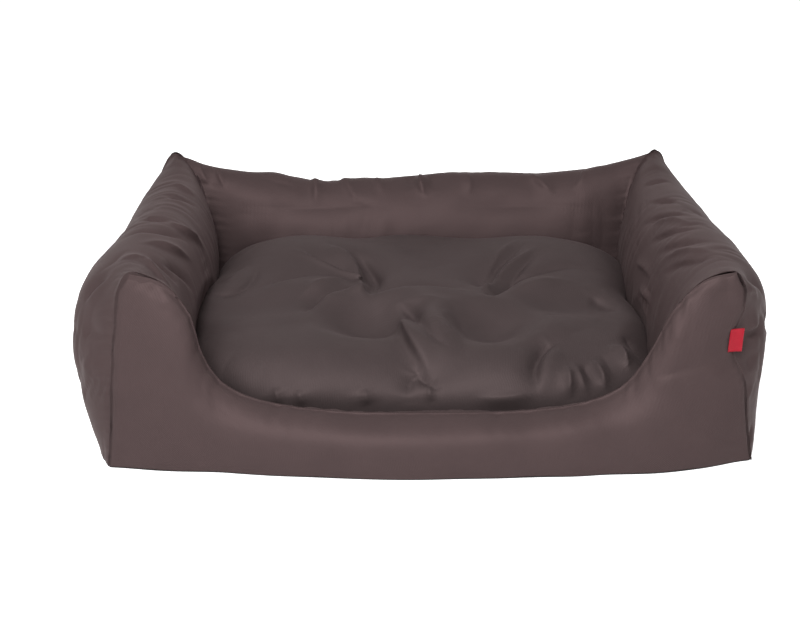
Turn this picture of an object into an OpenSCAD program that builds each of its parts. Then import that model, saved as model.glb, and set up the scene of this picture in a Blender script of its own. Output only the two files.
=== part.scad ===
// Dog sofa bed: two padded arms, a padded back and a low bowed lip, sewn round a padded
// floor that holds a loose, tufted cushion. Both cloth covers open with a hidden zip.
// X runs to the right, Y to the back and Z up. The origin is on the floor, under the middle.

/* [Bed] */
// Width over the fullest part of both arms
bed_w = 900; // [760:10:1100]
// Depth from the middle of the bowed front to the back
bed_d = 730; // [620:10:900]
// Height of the two pointed rear corners
ear_h = 262; // [235:1:320]

/* [Walls] */
// Height of the arm rolls at mid length
arm_h = 250; // [215:1:290]
// Height of the back roll at mid length
back_h = 232; // [205:1:280]
// Height of the pointed front corners of the arms
peak_h = 254; // [220:1:300]
// Thickness of an arm at its fullest
arm_t = 142; // [110:1:170]
// Thickness of the back at its fullest
back_t = 140; // [110:1:170]

/* [Front] */
// Height of the lip at its middle
lip_h = 73; // [55:1:100]
// How far the middle of the lip bows out past its corners
bow_d = 50; // [30:1:70]
// How far the ends of the arms swell out of the front plane
end_swell = 16; // [6:1:24]
// How far the inner face of the lip swells towards the cushion
lip_swell = 30; // [15:1:40]

/* [Floor] */
// Thickness of the non-slip sheet under the bed
base_t = 2; // [1:0.5:4]
// Thickness of the wadding in the floor
pad_t = 12; // [6:1:20]

/* [Cloth] */
// Thickness of the woven cover cloth
fabric_t = 1.5; // [1:0.1:2]
// Clearance between a cover and its filling
fit_gap = 0.3; // [0.2:0.05:0.5]

/* [Cushion] */
// Height of the cushion's crown over its seam, at its middle
cushion_rise = 98; // [70:1:120]
// Height of the cushion's seam over its underside
seam_up = 35; // [25:1:50]
// Room between the cushion and each arm
side_room = 4; // [3:1:12]
// Room between the cushion and the back, and between it and the lip
end_room = 10; // [9:1:18]
// Distance between the two tufts
tuft_gap = 180; // [140:2:240]
// How far the tufts lie behind the middle of the cushion
tuft_back = 38; // [20:1:60]
// Depth of a tuft in the crown
tuft_depth = 27; // [12:1:40]
// Radius of the cloth that a tuft draws down
tuft_reach = 85; // [60:1:85]

/* [Zips] */
// Distance from each end of the bed to the zip chain in its back
frame_zip_in = 190; // [180:2:280]
// Distance from each side of the cushion to the zip chain in its rear seam
cushion_zip_in = 154; // [150:2:240]
// Width of a zip tape
tape_w = 24; // [18:1:28]
// Width of a zip chain
chain_w = 5; // [4:0.5:6]
// Length of a zip pull, from its pin to its tip
pull_l = 18; // [14:1:19]

/* [Tag] */
// Width of the folded tag in the right front seam
tag_w = 18; // [12:1:22]
// Height of the tag
tag_h = 30; // [20:1:40]
// Height of the middle of the tag over the floor
tag_z = 166; // [140:1:180]

/* [Hidden] */

cloth_colour = [0.35, 0.30, 0.30];
cushion_colour = [0.33, 0.30, 0.29];
filling_colour = [0.90, 0.89, 0.86];
base_colour = [0.12, 0.12, 0.12];
tag_colour = [0.75, 0.16, 0.15];
zip_colour = [0.20, 0.18, 0.18];
metal_colour = [0.45, 0.42, 0.40];
$fn = 32;

half_w = bed_w / 2;
half_d = bed_d / 2;
floor_cover_t = 1.2;
pad_room = 3;
fill_room = 3;
fill_edge = 24;
front_reach = 110;
corner_reach = 150;
corner_share = 0.9;
corner_t = corner_share * min(arm_t, back_t);
arm_strips = 14;
back_strips = 24;

// Sections of the walls, from the outer foot over the crest to the inner foot. Each point
// is a share of the wall's thickness, inwards, and a share of its height. The second and
// third points of the back are the upright band that carries the zip.
arm_rows_share = [[0.085, 0], [0.035, 0.11], [0.007, 0.27], [0, 0.44], [0.01, 0.6],
  [0.042, 0.72], [0.127, 0.84], [0.296, 0.948], [0.535, 1], [0.732, 0.952], [0.873, 0.848],
  [0.951, 0.728], [0.993, 0.6], [1, 0.472], [0.986, 0.328], [0.965, 0.18], [0.944, 0]];
back_rows_share = [[0.09, 0], [0.075, 0.1], [0.075, 0.28], [0.016, 0.42], [0, 0.56],
  [0.03, 0.7], [0.12, 0.84], [0.296, 0.95], [0.535, 1], [0.732, 0.952], [0.873, 0.848],
  [0.951, 0.728], [0.993, 0.6], [1, 0.472], [0.986, 0.328], [0.965, 0.18], [0.944, 0]];
corner_rows_share = [[0.095, 0], [0.088, 0.107], [0.086, 0.26], [0.096, 0.42], [0.13, 0.573],
  [0.175, 0.687], [0.25, 0.802], [0.35, 0.916], [0.476, 1], [0.62, 0.977], [0.77, 0.897],
  [0.9, 0.775], [0.97, 0.656], [1, 0.534], [1, 0.38], [0.99, 0.19], [0.975, 0]];
front_rows_share = [[0.268, 0], [0.292, 0.1], [0.324, 0.24], [0.366, 0.4], [0.42, 0.55],
  [0.437, 0.68], [0.437, 0.8], [0.447, 0.91], [0.535, 1], [0.754, 0.969], [0.908, 0.903],
  [1.056, 0.798], [1.141, 0.7], [1.12, 0.545], [1.092, 0.389], [1.056, 0.195], [1.028, 0]];
peak_row = 8;
lip_row = 12;
foot_row = 16;

function section(rows, t, h) = [for (p = rows) [p[0] * t, base_t + p[1] * (h - base_t)]];

arm_mid = section(arm_rows_share, arm_t, arm_h);
back_mid = section(back_rows_share, back_t, back_h);
corner = section(corner_rows_share, corner_t, ear_h);
arm_front = section(front_rows_share, arm_t, peak_h);

function flat(list) = [for (part = list) each part];
function unit(v) = v / norm(v);
function near(distance, reach) = pow(max(0, 1 - distance / reach), 2);
function spread(share) = (1 - cos(180 * share)) / 2;

// A wall section moved inwards by a distance, with its two feet kept at their height
function inset(rows, distance) = [
  for (i = [0 : len(rows) - 1])
    let (
      along = rows[min(i + 1, len(rows) - 1)] - rows[max(i - 1, 0)],
      foot = i == 0 || i == len(rows) - 1,
      inwards = foot ? [sign(along[1]), 0] : unit([along[1], -along[0]])
    )
      rows[i] + distance * inwards
];

// Triangles between neighbouring rows of points, for polyhedron()
function strips(rows, cols, first, turned) = [
  for (r = [0 : rows - 2], c = [0 : cols - 2])
    let (a = first + r * cols + c, b = a + 1, d = a + cols, e = d + 1)
      each turned ? [[a, b, d], [b, e, d]] : [[a, d, b], [b, d, e]]
];

function border(rows, cols) = concat(
  [for (c = [0 : cols - 2]) c],
  [for (r = [0 : rows - 2]) r * cols + cols - 1],
  [for (c = [cols - 1 : -1 : 1]) (rows - 1) * cols + c],
  [for (r = [rows - 1 : -1 : 1]) r * cols]
);

// A closed sheet between two like grids of points, the one that faces out and the other
module sheet(face, back) {
  rows = len(face);
  cols = len(face[0]);
  count = rows * cols;
  edge = border(rows, cols);
  rim = [
    for (k = [0 : len(edge) - 1])
      let (p = edge[k], q = edge[(k + 1) % len(edge)])
        each [[p, q, p + count], [q, q + count, p + count]]
  ];
  polyhedron(
    points = concat(flat(face), flat(back)),
    faces = concat(strips(rows, cols, 0, false), strips(rows, cols, count, true), rim)
  );
}

// A closed body through a row of like wall sections, with flat ends
module filling(rings) {
  size = len(rings[0]);
  last = (len(rings) - 1) * size;
  sides = [
    for (r = [0 : len(rings) - 2], k = [0 : size - 1])
      let (a = r * size + k, b = r * size + (k + 1) % size)
        each [[a, a + size, b], [b, a + size, b + size]]
  ];
  function end(first, turned) = [
    for (k = [0 : size / 2 - 1])
      let (a = first + k, b = a + 1, d = first + size - 1 - k, e = d - 1)
        each b == e ? [turned ? [a, d, b] : [a, b, d]]
          : turned ? [[a, d, e], [a, e, b]] : [[a, e, d], [a, b, e]]
  ];
  polyhedron(points = flat(rings), faces = concat(sides, end(0, false), end(last, true)));
}

/* Front: the seams of the outer and inner panels, and how far each swells */

// Seam on top of the lip, from its middle to where it meets the arm, as shares of its
// half length and of its climb
lip_curve_share = [[0, 0], [0.17, 0], [0.345, 0.006], [0.52, 0.035], [0.625, 0.07],
  [0.736, 0.145], [0.81, 0.235], [0.868, 0.36], [0.91, 0.51], [0.945, 0.673], [0.974, 0.83]];
foot_bow_share = 0.9;
fall_power = 5;
edge_power = 12;

function front_x(row) = half_w - arm_front[row][0];
function front_z(row) = arm_front[row][1];
function side_x(z) = lookup(z, [for (i = [0 : peak_row]) [front_z(i), front_x(i)]]);
function inner_x(z) = lookup(z, [for (i = [foot_row : -1 : lip_row]) [front_z(i), front_x(i)]]);

lip_half = [
  for (p = lip_curve_share)
    [p[0] * front_x(lip_row), lip_h + p[1] * (front_z(lip_row) - lip_h)]
];
seam_half = concat(lip_half, [for (i = [lip_row : -1 : peak_row]) [front_x(i), front_z(i)]]);
inner_half = concat(lip_half, [[front_x(lip_row), front_z(lip_row)]]);

// Columns of a front panel, from left to right: share of its half width, and top height
function columns(half, width) = concat(
  [for (j = [len(half) - 1 : -1 : 1]) [-half[j][0] / width(half[j][1]), half[j][1]]],
  [for (p = half) [p[0] / width(p[1]), p[1]]]
);
outer_columns = columns(seam_half, function (z) side_x(z));
inner_columns = columns(inner_half, function (z) inner_x(z));
outer_levels = [
  for (i = [0 : peak_row]) (front_z(i) - base_t) / (front_z(peak_row) - base_t)
];
inner_levels = [
  for (i = [foot_row : -1 : lip_row + 1], half = [0, 1])
    let (low = front_z(i), high = front_z(i - 1), top = front_z(lip_row))
      (low + half * (high - low) / 2 - base_t) / (top - base_t)
];

function level_z(level, top) = base_t + level * (top - base_t);
function fall(level) = (foot_bow_share + (1 - foot_bow_share) * sin(90 * min(1, 2 * level)))
  * pow(1 - pow(level, fall_power), 0.6);
function swell(across, level) = sqrt(1 - pow(across, edge_power))
  * (bow_d * (1 - pow(across, 2)) * fall(level)
    + end_swell * pow(across, 2) * pow(sin(180 * level), 0.7));
front_y = fabric_t + max([for (level = outer_levels) swell(0, level)]) - half_d;
arm_l = half_d - corner[peak_row][0] - front_y;

function outer_grid(depth, widest, low, high) = [
  for (level = outer_levels)
    let (at = low + level * (high - low))
      [
        for (column = outer_columns)
          let (z = level_z(at, column[1]), across = max(-widest, min(widest, column[0])))
            [across * side_x(z), front_y - swell(across, at) - depth, z]
      ]
];

function inner_swell(across, level) = abs(across) < 1 && level < 1
  ? lip_swell * pow(1 - pow(across, 4), 0.6) * sqrt(1 - pow(level, 3)) : 0;
inner_tops = [for (p = inner_half) [p[0] / inner_x(p[1]), p[1]]];
function inner_swell_at(x, z, margin) =
  let (across = abs(x) / inner_x(z), top = lookup(across, inner_tops))
    inner_swell(across + margin / inner_x(z), (z - base_t) / (top - base_t));

function inner_grid(depth) = [
  for (level = concat(inner_levels, [1]))
    [
      for (j = [len(inner_columns) - 1 : -1 : 0])
        let (column = inner_columns[j], z = level_z(level, column[1]))
          [column[0] * inner_x(z), front_y + depth + inner_swell(column[0], level), z]
    ]
];

module front_outer_panel() {
  color(cloth_colour)
    sheet(outer_grid(fabric_t, 1, 0, 1), outer_grid(0, 1, 0, 1));
}

module front_inner_panel() {
  color(cloth_colour)
    sheet(inner_grid(fabric_t), inner_grid(0));
}

// The filling stops short of the seams, where the two panels come together
fill_width_share = 0.93;
fill_low_share = 0.02;
fill_high_share = 0.93;

module front_fill() {
  face = outer_grid(-fill_room, fill_width_share, fill_low_share, fill_high_share);
  back = [
    for (row = face)
      [
        for (p = row)
          let (room = max(-fit_gap, inner_swell_at(p[0], p[2], fill_edge) - fill_room))
            [p[0], front_y + room, p[2]]
      ]
  ];
  color(filling_colour)
    sheet(face, back);
}

/* Walls */

function arm_rings(depth, end) = [
  for (k = [0 : arm_strips])
    let (
      s = spread(k / arm_strips),
      rows = arm_mid + near(s * arm_l, front_reach) * (arm_front - arm_mid)
        + near((1 - s) * arm_l, corner_reach) * (corner - arm_mid)
    )
      [
        for (p = inset(rows, depth))
          [p[0] - half_w, front_y + end + s * (half_d - p[0] - front_y - 2 * end), p[1]]
      ]
];

function back_rings(depth, end) = [
  for (k = [0 : back_strips])
    let (
      s = 2 * spread(k / back_strips) - 1,
      rows = back_mid + near((1 - abs(s)) * half_w, corner_reach) * (corner - back_mid)
    )
      [for (p = inset(rows, depth)) [s * (half_w - p[0] - end), half_d - p[0], p[1]]]
];

function raised(rings, rise) = [
  for (ring = rings) [for (p = ring) [p[0], p[1], max(p[2], base_t + rise)]]
];

module left_arm_cover() {
  color(cloth_colour)
    sheet(arm_rings(0, 0), arm_rings(fabric_t, 0));
}

module right_arm_cover() {
  color(cloth_colour)
    mirror([1, 0, 0])
      sheet(arm_rings(0, 0), arm_rings(fabric_t, 0));
}

module back_cover() {
  color(cloth_colour)
    sheet(back_rings(0, 0), back_rings(fabric_t, 0));
}

module left_arm_fill() {
  color(filling_colour)
    filling(raised(arm_rings(fabric_t + fit_gap, fit_gap), fit_gap));
}

module right_arm_fill() {
  color(filling_colour)
    mirror([1, 0, 0])
      filling(raised(arm_rings(fabric_t + fit_gap, fit_gap), fit_gap));
}

module back_fill() {
  color(filling_colour)
    filling(raised(back_rings(fabric_t + fit_gap, fit_gap), fit_gap));
}

/* Floor */

arm_feet = arm_rings(0, 0);
back_feet = back_rings(0, 0);

module base_sheet() {
  left = [for (ring = arm_feet) [ring[0][0], ring[0][1]]];
  rear = [for (ring = back_feet) [ring[0][0], ring[0][1]]];
  right = [for (k = [arm_strips : -1 : 0]) [-left[k][0], left[k][1]]];
  bow = outer_grid(fabric_t, 1, 0, 1)[0];
  front = [for (j = [len(bow) - 1 : -1 : 0]) [bow[j][0], bow[j][1]]];
  color(base_colour)
    linear_extrude(base_t)
      polygon(concat(left, rear, right, front));
}

// Outline of the floor between the inner feet of the walls, drawn in by a distance
function well(room) =
  let (
    left = [
      for (k = [1 : arm_strips - 1])
        [arm_feet[k][foot_row][0] + room, arm_feet[k][foot_row][1]]
    ],
    rear = [
      for (k = [1 : back_strips - 1])
        [back_feet[k][foot_row][0], back_feet[k][foot_row][1] - room]
    ],
    right = [for (k = [len(left) - 1 : -1 : 0]) [-left[k][0], left[k][1]]],
    lip = inner_grid(fabric_t)[0],
    front = [for (j = [1 : len(lip) - 2]) [lip[j][0], lip[j][1] + room]]
  )
    concat(left, rear, right, front);

module floor_pad() {
  color(filling_colour)
    translate([0, 0, base_t])
      linear_extrude(pad_t)
        polygon(well(pad_room));
}

module floor_cover() {
  color(cloth_colour)
    translate([0, 0, base_t + pad_t])
      linear_extrude(floor_cover_t)
        polygon(well(pad_room));
}

/* Cushion */

floor_z = base_t + pad_t + floor_cover_t;
cushion_foot = floor_z + fit_gap;
seam_z = cushion_foot + seam_up;
cushion_half_w = half_w - arm_t - side_room;
cushion_rear = half_d - back_t - end_room;
cushion_front = front_y + lip_swell + fabric_t + end_room;
cushion_half_d = (cushion_rear - cushion_front) / 2;
cushion_mid_y = (cushion_rear + cushion_front) / 2;
tuft_across = tuft_gap / 2 / cushion_half_w;
tuft_along = tuft_back / cushion_half_d;

// The crown leans back, and falls softly to the front and steeply to the back
lean_share = 0.35;
side_power = 3;
front_power = 2.3;
rear_power = 4;
foot_power = 4;
// The corners are rounded off and the straight sides drawn in
corner_round_share = 0.14;
draw_share = 0.012;
round_power = 8;
foot_tuft_depth = 8;
foot_tuft_reach = 28;

function bulge(t, power) = pow(1 - pow(abs(t), power), 1 / power);
function outline(t) = 1 - corner_round_share * pow(t, round_power)
  - draw_share * (1 - pow(t, 4));
function plan(u, v) = [cushion_half_w * u * outline(v), cushion_mid_y + cushion_half_d * v * outline(u)];
function tuft(point, depth, reach) =
  let (from = [abs(point[0]) - tuft_gap / 2, point[1] - cushion_mid_y - tuft_back])
    depth * near(norm(from), reach);
function crown_z(u, v) = seam_z + cushion_rise * (1 + lean_share * v) * bulge(u, side_power)
  * bulge(v, v < 0 ? front_power : rear_power) - tuft(plan(u, v), tuft_depth, tuft_reach);
function under_z(u, v) = seam_z - seam_up * bulge(u, foot_power) * bulge(v, foot_power)
  + tuft(plan(u, v), foot_tuft_depth, foot_tuft_reach);

// Grid lines of the cushion, close together near its edges, with one through each tuft
side_lines = 7;
middle_lines = 6;
front_lines = 9;
rear_lines = 7;
function line(edge, inner, share) = edge + (inner - edge) * (1 - cos(90 * share));
lines_u = concat(
  [for (k = [0 : side_lines - 1]) line(-1, -tuft_across, k / side_lines)],
  [for (k = [0 : middle_lines - 1]) tuft_across * (2 * k / middle_lines - 1)],
  [for (k = [side_lines : -1 : 0]) line(1, tuft_across, k / side_lines)]
);
lines_v = concat(
  [for (k = [0 : front_lines - 1]) line(-1, tuft_along, k / front_lines)],
  [for (k = [rear_lines : -1 : 0]) line(1, tuft_along, k / rear_lines)]
);

function top_grid() = [
  for (v = lines_v) [for (u = lines_u) [plan(u, v)[0], plan(u, v)[1], crown_z(u, v)]]
];
function under_grid() = [
  for (v = lines_v) [for (u = lines_u) [plan(u, v)[0], plan(u, v)[1], under_z(u, v)]]
];

// A cushion grid moved inwards by a distance, with its edge kept at the seam
function shrunk(grid, distance, up, lift) = [
  for (r = [0 : len(grid) - 1])
    [
      for (c = [0 : len(grid[0]) - 1])
        let (
          right = grid[r][min(c + 1, len(grid[0]) - 1)] - grid[r][max(c - 1, 0)],
          back = grid[min(r + 1, len(grid) - 1)][c] - grid[max(r - 1, 0)][c],
          rim_x = (c == len(grid[0]) - 1 ? 1 : 0) - (c == 0 ? 1 : 0),
          rim_y = (r == len(grid) - 1 ? 1 : 0) - (r == 0 ? 1 : 0),
          edge = rim_x != 0 || rim_y != 0,
          out = edge ? [rim_x, rim_y, 0] : up * cross(right, back)
        )
          grid[r][c] - distance * unit(out) + [0, 0, edge ? lift : 0]
    ]
];

module cushion_top_cover() {
  color(cushion_colour)
    sheet(top_grid(), shrunk(top_grid(), fabric_t, 1, 0));
}

module cushion_bottom_cover() {
  color(cushion_colour)
    sheet(shrunk(under_grid(), fabric_t, -1, 0), under_grid());
}

thread_r = 1.5;
thread_room = 0.3;
knot_r = 2.5;
// A knot rests on the sloping cloth of its tuft, a little off the bottom of it
knot_seat_share = 1.75;
foot_knot_seat_share = 1.4;

function tuft_top() = crown_z(tuft_across / outline(tuft_along), tuft_along);
function tuft_foot() = under_z(tuft_across / outline(tuft_along), tuft_along);

module at_tuft(side) {
  translate([side * tuft_gap / 2, cushion_mid_y + tuft_back, 0])
    children();
}

module cushion_fill() {
  color(filling_colour)
    difference() {
      sheet(shrunk(top_grid(), fabric_t + fit_gap, 1, fit_gap),
        shrunk(under_grid(), fabric_t + fill_room, -1, -fit_gap));
      for (side = [-1, 1])
        at_tuft(side)
          cylinder(r = thread_r + thread_room, h = ear_h);
    }
}

module tuft_tie() {
  low = tuft_foot() + fabric_t;
  high = tuft_top() - fabric_t;
  translate([0, 0, low])
    cylinder(r = thread_r, h = high - low);
  translate([0, 0, tuft_top() + knot_seat_share * knot_r])
    sphere(knot_r);
  translate([0, 0, tuft_foot() - foot_knot_seat_share * knot_r])
    sphere(knot_r);
}

module left_tuft_tie() {
  color(cushion_colour)
    at_tuft(-1)
      tuft_tie();
}

module right_tuft_tie() {
  color(cushion_colour)
    at_tuft(1)
      tuft_tie();
}

/* Zips. Each lies on an upright stretch of cloth, with its chain along X and facing back. */

tape_t = 0.8;
tape_end = 12;
chain_h = 1.4;
stop_l = 3;
stop_h = 1.8;
slider_l = 11;
plate_t = 1.1;
rail_t = 1.2;
slide_room = 0.25;
ear_t = 1.2;
ear_l = 4;
pin_r = 0.8;
pin_up = 2.2;
eye_r = 1.9;
eye_w = 3;
eye_room = 0.08;
pull_w = 6;
pull_t = 1.2;
pull_hole_r = 1.6;

plate_y = tape_t + chain_h + slide_room;
pin_y = plate_y + plate_t + pin_up;
slider_w = chain_w + 2 * (slide_room + rail_t);

module zip_tape(length) {
  translate([-length / 2 - tape_end, 0, -tape_w / 2])
    cube([length + 2 * tape_end, tape_t, tape_w]);
}

module zip_teeth(length) {
  translate([-length / 2, tape_t, -chain_w / 2])
    cube([length, chain_h, chain_w]);
}

module zip_stops(length) {
  for (side = [-1, 1])
    translate([side * (length + stop_l) / 2 - stop_l / 2, tape_t, -chain_w / 2])
      cube([stop_l, stop_h, chain_w]);
}

// A slider's pin, about which its pull turns, is upright at its own origin
module zip_slider() {
  translate([-slider_l / 2, plate_y, -slider_w / 2])
    cube([slider_l, plate_t, slider_w]);
  for (side = [-1, 1]) {
    translate([-slider_l / 2, tape_t + slide_room, side * (slider_w - rail_t) / 2 - rail_t / 2])
      cube([slider_l, plate_y - tape_t - slide_room + plate_t, rail_t]);
    translate([-ear_l / 2, plate_y, side * (eye_w / 2 + slide_room + ear_t / 2) - ear_t / 2])
      cube([ear_l, plate_t + pin_up + eye_r, ear_t]);
  }
  translate([0, pin_y, -eye_w / 2 - slide_room - ear_t])
    cylinder(r = pin_r, h = eye_w + 2 * (slide_room + ear_t));
}

module zip_pull() {
  neck_l = slider_l / 2;
  difference() {
    union() {
      translate([0, pin_y, -eye_w / 2])
        cylinder(r = eye_r, h = eye_w);
      translate([0, pin_y - pull_t / 2, -eye_w / 2])
        cube([neck_l, pull_t, eye_w]);
      translate([neck_l, pin_y - pull_t / 2, -pull_w / 2])
        cube([pull_l - neck_l - pull_w / 2, pull_t, pull_w]);
      translate([pull_l - pull_w / 2, pin_y + pull_t / 2, 0])
        rotate([90, 0, 0])
          cylinder(r = pull_w / 2, h = pull_t);
    }
    translate([0, pin_y, -eye_w])
      cylinder(r = pin_r + eye_room, h = 2 * eye_w);
    translate([pull_l - pull_w / 2, pin_y + pull_t, 0])
      rotate([90, 0, 0])
        cylinder(r = pull_hole_r, h = 2 * pull_t);
  }
}

band_z = (back_mid[1][1] + back_mid[2][1]) / 2;

module on_frame() {
  translate([0, half_d - back_mid[1][0] + fit_gap, band_z])
    children();
}

module on_cushion() {
  translate([0, cushion_rear - cushion_half_d * draw_share + fit_gap, seam_z])
    children();
}

frame_zip_l = bed_w - 2 * frame_zip_in;
cushion_zip_l = 2 * (cushion_half_w - cushion_zip_in);

function parked(length) = fit_gap + (slider_l - length) / 2;

module frame_zip_tape() {
  color(zip_colour)
    on_frame()
      zip_tape(frame_zip_l);
}

module frame_zip_teeth() {
  color(zip_colour)
    on_frame()
      zip_teeth(frame_zip_l);
}

module frame_zip_stops() {
  color(metal_colour)
    on_frame()
      zip_stops(frame_zip_l);
}

module frame_zip_slider() {
  color(metal_colour)
    on_frame()
      translate([parked(frame_zip_l), 0, 0])
        zip_slider();
}

module frame_zip_pull() {
  color(metal_colour)
    on_frame()
      translate([parked(frame_zip_l), 0, 0])
        zip_pull();
}

module cushion_zip_tape() {
  color(zip_colour)
    on_cushion()
      zip_tape(cushion_zip_l);
}

module cushion_zip_teeth() {
  color(zip_colour)
    on_cushion()
      zip_teeth(cushion_zip_l);
}

module cushion_zip_stops() {
  color(metal_colour)
    on_cushion()
      zip_stops(cushion_zip_l);
}

module cushion_zip_slider() {
  color(metal_colour)
    on_cushion()
      translate([parked(cushion_zip_l), 0, 0])
        zip_slider();
}

module cushion_zip_pull() {
  color(metal_colour)
    on_cushion()
      translate([parked(cushion_zip_l), 0, 0])
        zip_pull();
}

/* Tag, sewn into the seam and lying over the end of the arm */

tag_t = 1.2;
tag_steps = 3;

function tag_grid(depth) = [
  for (row = [0, 1])
    [
      for (k = [0 : tag_steps])
        let (
          z = tag_z + (row - 0.5) * tag_h,
          edge = side_x(z),
          x = edge - tag_w + k * tag_w / tag_steps,
          level = (z - base_t) / (peak_h - base_t)
        )
          [x, front_y - fabric_t - fit_gap - swell(x / edge, level) - depth, z]
    ]
];

module side_tag() {
  color(tag_colour)
    sheet(tag_grid(tag_t), tag_grid(0));
}

base_sheet();
floor_pad();
floor_cover();
left_arm_cover();
right_arm_cover();
back_cover();
front_outer_panel();
front_inner_panel();
left_arm_fill();
right_arm_fill();
back_fill();
front_fill();
side_tag();
frame_zip_tape();
frame_zip_teeth();
frame_zip_stops();
frame_zip_slider();
frame_zip_pull();
cushion_top_cover();
cushion_bottom_cover();
cushion_fill();
left_tuft_tie();
right_tuft_tie();
cushion_zip_tape();
cushion_zip_teeth();
cushion_zip_stops();
cushion_zip_slider();
cushion_zip_pull();
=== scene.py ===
import math

import bmesh
import bpy
import numpy as np
from mathutils import Matrix, Vector


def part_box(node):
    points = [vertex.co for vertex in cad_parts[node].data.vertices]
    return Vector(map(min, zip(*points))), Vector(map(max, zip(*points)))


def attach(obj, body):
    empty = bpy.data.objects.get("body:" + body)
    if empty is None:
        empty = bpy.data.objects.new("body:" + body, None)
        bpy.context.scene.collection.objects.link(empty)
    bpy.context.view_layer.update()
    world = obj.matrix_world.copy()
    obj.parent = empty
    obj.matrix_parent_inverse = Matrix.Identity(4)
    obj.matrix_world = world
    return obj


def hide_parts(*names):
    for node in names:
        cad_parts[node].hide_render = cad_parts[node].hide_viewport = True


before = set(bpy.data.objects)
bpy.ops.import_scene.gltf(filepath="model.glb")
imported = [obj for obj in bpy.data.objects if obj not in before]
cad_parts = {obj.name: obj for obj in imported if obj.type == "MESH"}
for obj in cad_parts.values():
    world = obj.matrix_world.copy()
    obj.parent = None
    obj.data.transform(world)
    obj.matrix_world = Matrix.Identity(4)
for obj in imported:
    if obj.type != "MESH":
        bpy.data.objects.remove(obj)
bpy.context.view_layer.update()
scene = bpy.context.scene
scene.view_settings.view_transform = "Standard"
mm = 0.001

# The camera of the photograph, on the front seams, the rear corners and the mitres of the
# bed: it stands 2.2 m away, looks down by 19 degrees and is turned by 1.5 degrees.
camera_distance = 2200
camera_aim = np.array([0, 0, 100])
camera_right = -33
camera_up = -12
camera_back = 9
sensor_w = 36
lens_length = 67.5
tilt = math.radians(19)
turn = math.radians(-1.5)
roll = math.radians(-0.3)

right = np.array([1, 0, 0])
up = np.array([0, math.sin(tilt), math.cos(tilt)])
ahead = np.array([0, math.cos(tilt), -math.sin(tilt)])
turned = np.array(Matrix.Rotation(turn, 3, "Z"))
place = turned @ (camera_aim + right * camera_right + up * camera_up - ahead * camera_distance)
place = place + np.array([0, camera_back, 0])
axes = [
    turned @ (right * math.cos(roll) - up * math.sin(roll)),
    turned @ (right * math.sin(roll) + up * math.cos(roll)),
    turned @ -ahead,
]
lens = bpy.data.cameras.new("Camera")
lens.sensor_width = sensor_w
lens.lens = lens_length
camera = bpy.data.objects.new("Camera", lens)
scene.collection.objects.link(camera)
camera.matrix_world = Matrix.LocRotScale(
    Vector(place * mm), Matrix(axes).transposed().to_quaternion(), None
)
scene.camera = camera

# Floor of the photographer's table: matt white paper that runs out of the picture, and
# keeps the bed's own soft shadow.
floor_half = 30
paper_lift = 0.96


def linear(hex_colour):
    """A colour written as sRGB hex, as the linear values that a node takes"""
    parts = [int(hex_colour[k : k + 2], 16) / 255 for k in (1, 3, 5)]
    return [c / 12.92 if c <= 0.04045 else ((c + 0.055) / 1.055) ** 2.4 for c in parts] + [1]


def add(tree, kind, inputs=None, **settings):
    """A node with its settings, each input given as a value or as the socket that feeds it"""
    node = tree.nodes.new(kind)
    for name, value in settings.items():
        setattr(node, name, value)
    for socket, value in (inputs or {}).items():
        if isinstance(value, bpy.types.NodeSocket):
            tree.links.new(value, node.inputs[socket])
        else:
            node.inputs[socket].default_value = value
    return node


def new_material(name):
    """A material without nodes, and its tree"""
    material = bpy.data.materials.new(name)
    material.use_nodes = True
    material.node_tree.nodes.clear()
    return material, material.node_tree


def white_rays(tree):
    """1 for the rays that show the white studio: the camera's, and those of gloss and glass"""
    rays = add(tree, "ShaderNodeLightPath")
    seen = rays.outputs["Is Camera Ray"]
    for kind in ("Is Glossy Ray", "Is Transmission Ray"):
        either = add(tree, "ShaderNodeMath", {0: seen, 1: rays.outputs[kind]}, operation="MAXIMUM")
        seen = either.outputs[0]
    return seen


paper, tree = new_material("white matt paper")
lit = add(tree, "ShaderNodeBsdfDiffuse", {"Color": linear("#ffffff")})
lift = add(tree, "ShaderNodeMath", {0: white_rays(tree), 1: paper_lift}, operation="MULTIPLY")
bright = add(tree, "ShaderNodeEmission", {"Color": linear("#ffffff"), "Strength": lift.outputs[0]})
whole = add(tree, "ShaderNodeAddShader", {0: lit.outputs[0], 1: bright.outputs[0]})
add(tree, "ShaderNodeOutputMaterial", {"Surface": whole.outputs[0]})
mesh = bpy.data.meshes.new("floor")
corners = [(x, y, 0) for x, y in ((-1, -1), (1, -1), (1, 1), (-1, 1))]
mesh.from_pydata([Vector(c) * floor_half for c in corners], [], [(0, 1, 2, 3)])
mesh.materials.append(paper)
floor = bpy.data.objects.new("floor", mesh)
scene.collection.objects.link(floor)

# Light of a white studio: a dim even room, a strong soft lamp high in front, weaker ones
# beside it, and one behind. The room is plain white where the camera, gloss or glass sees
# it. Each lamp has its place and size in metres, its watts, and whether gloss mirrors it.
room_light = 0.04
studio_white = 1.0
lamps_aim = Vector((0, 0, 0.1))

world = bpy.data.worlds.new("studio")
scene.world = world
world.use_nodes = True
tree = world.node_tree
tree.nodes.clear()
room = add(tree, "ShaderNodeBackground", {"Color": linear("#ffffff"), "Strength": room_light})
white = add(tree, "ShaderNodeBackground", {"Color": linear("#ffffff"), "Strength": studio_white})
mixed = add(
    tree, "ShaderNodeMixShader", {0: white_rays(tree), 1: room.outputs[0], 2: white.outputs[0]}
)
add(tree, "ShaderNodeOutputWorld", {"Surface": mixed.outputs[0]})

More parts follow.
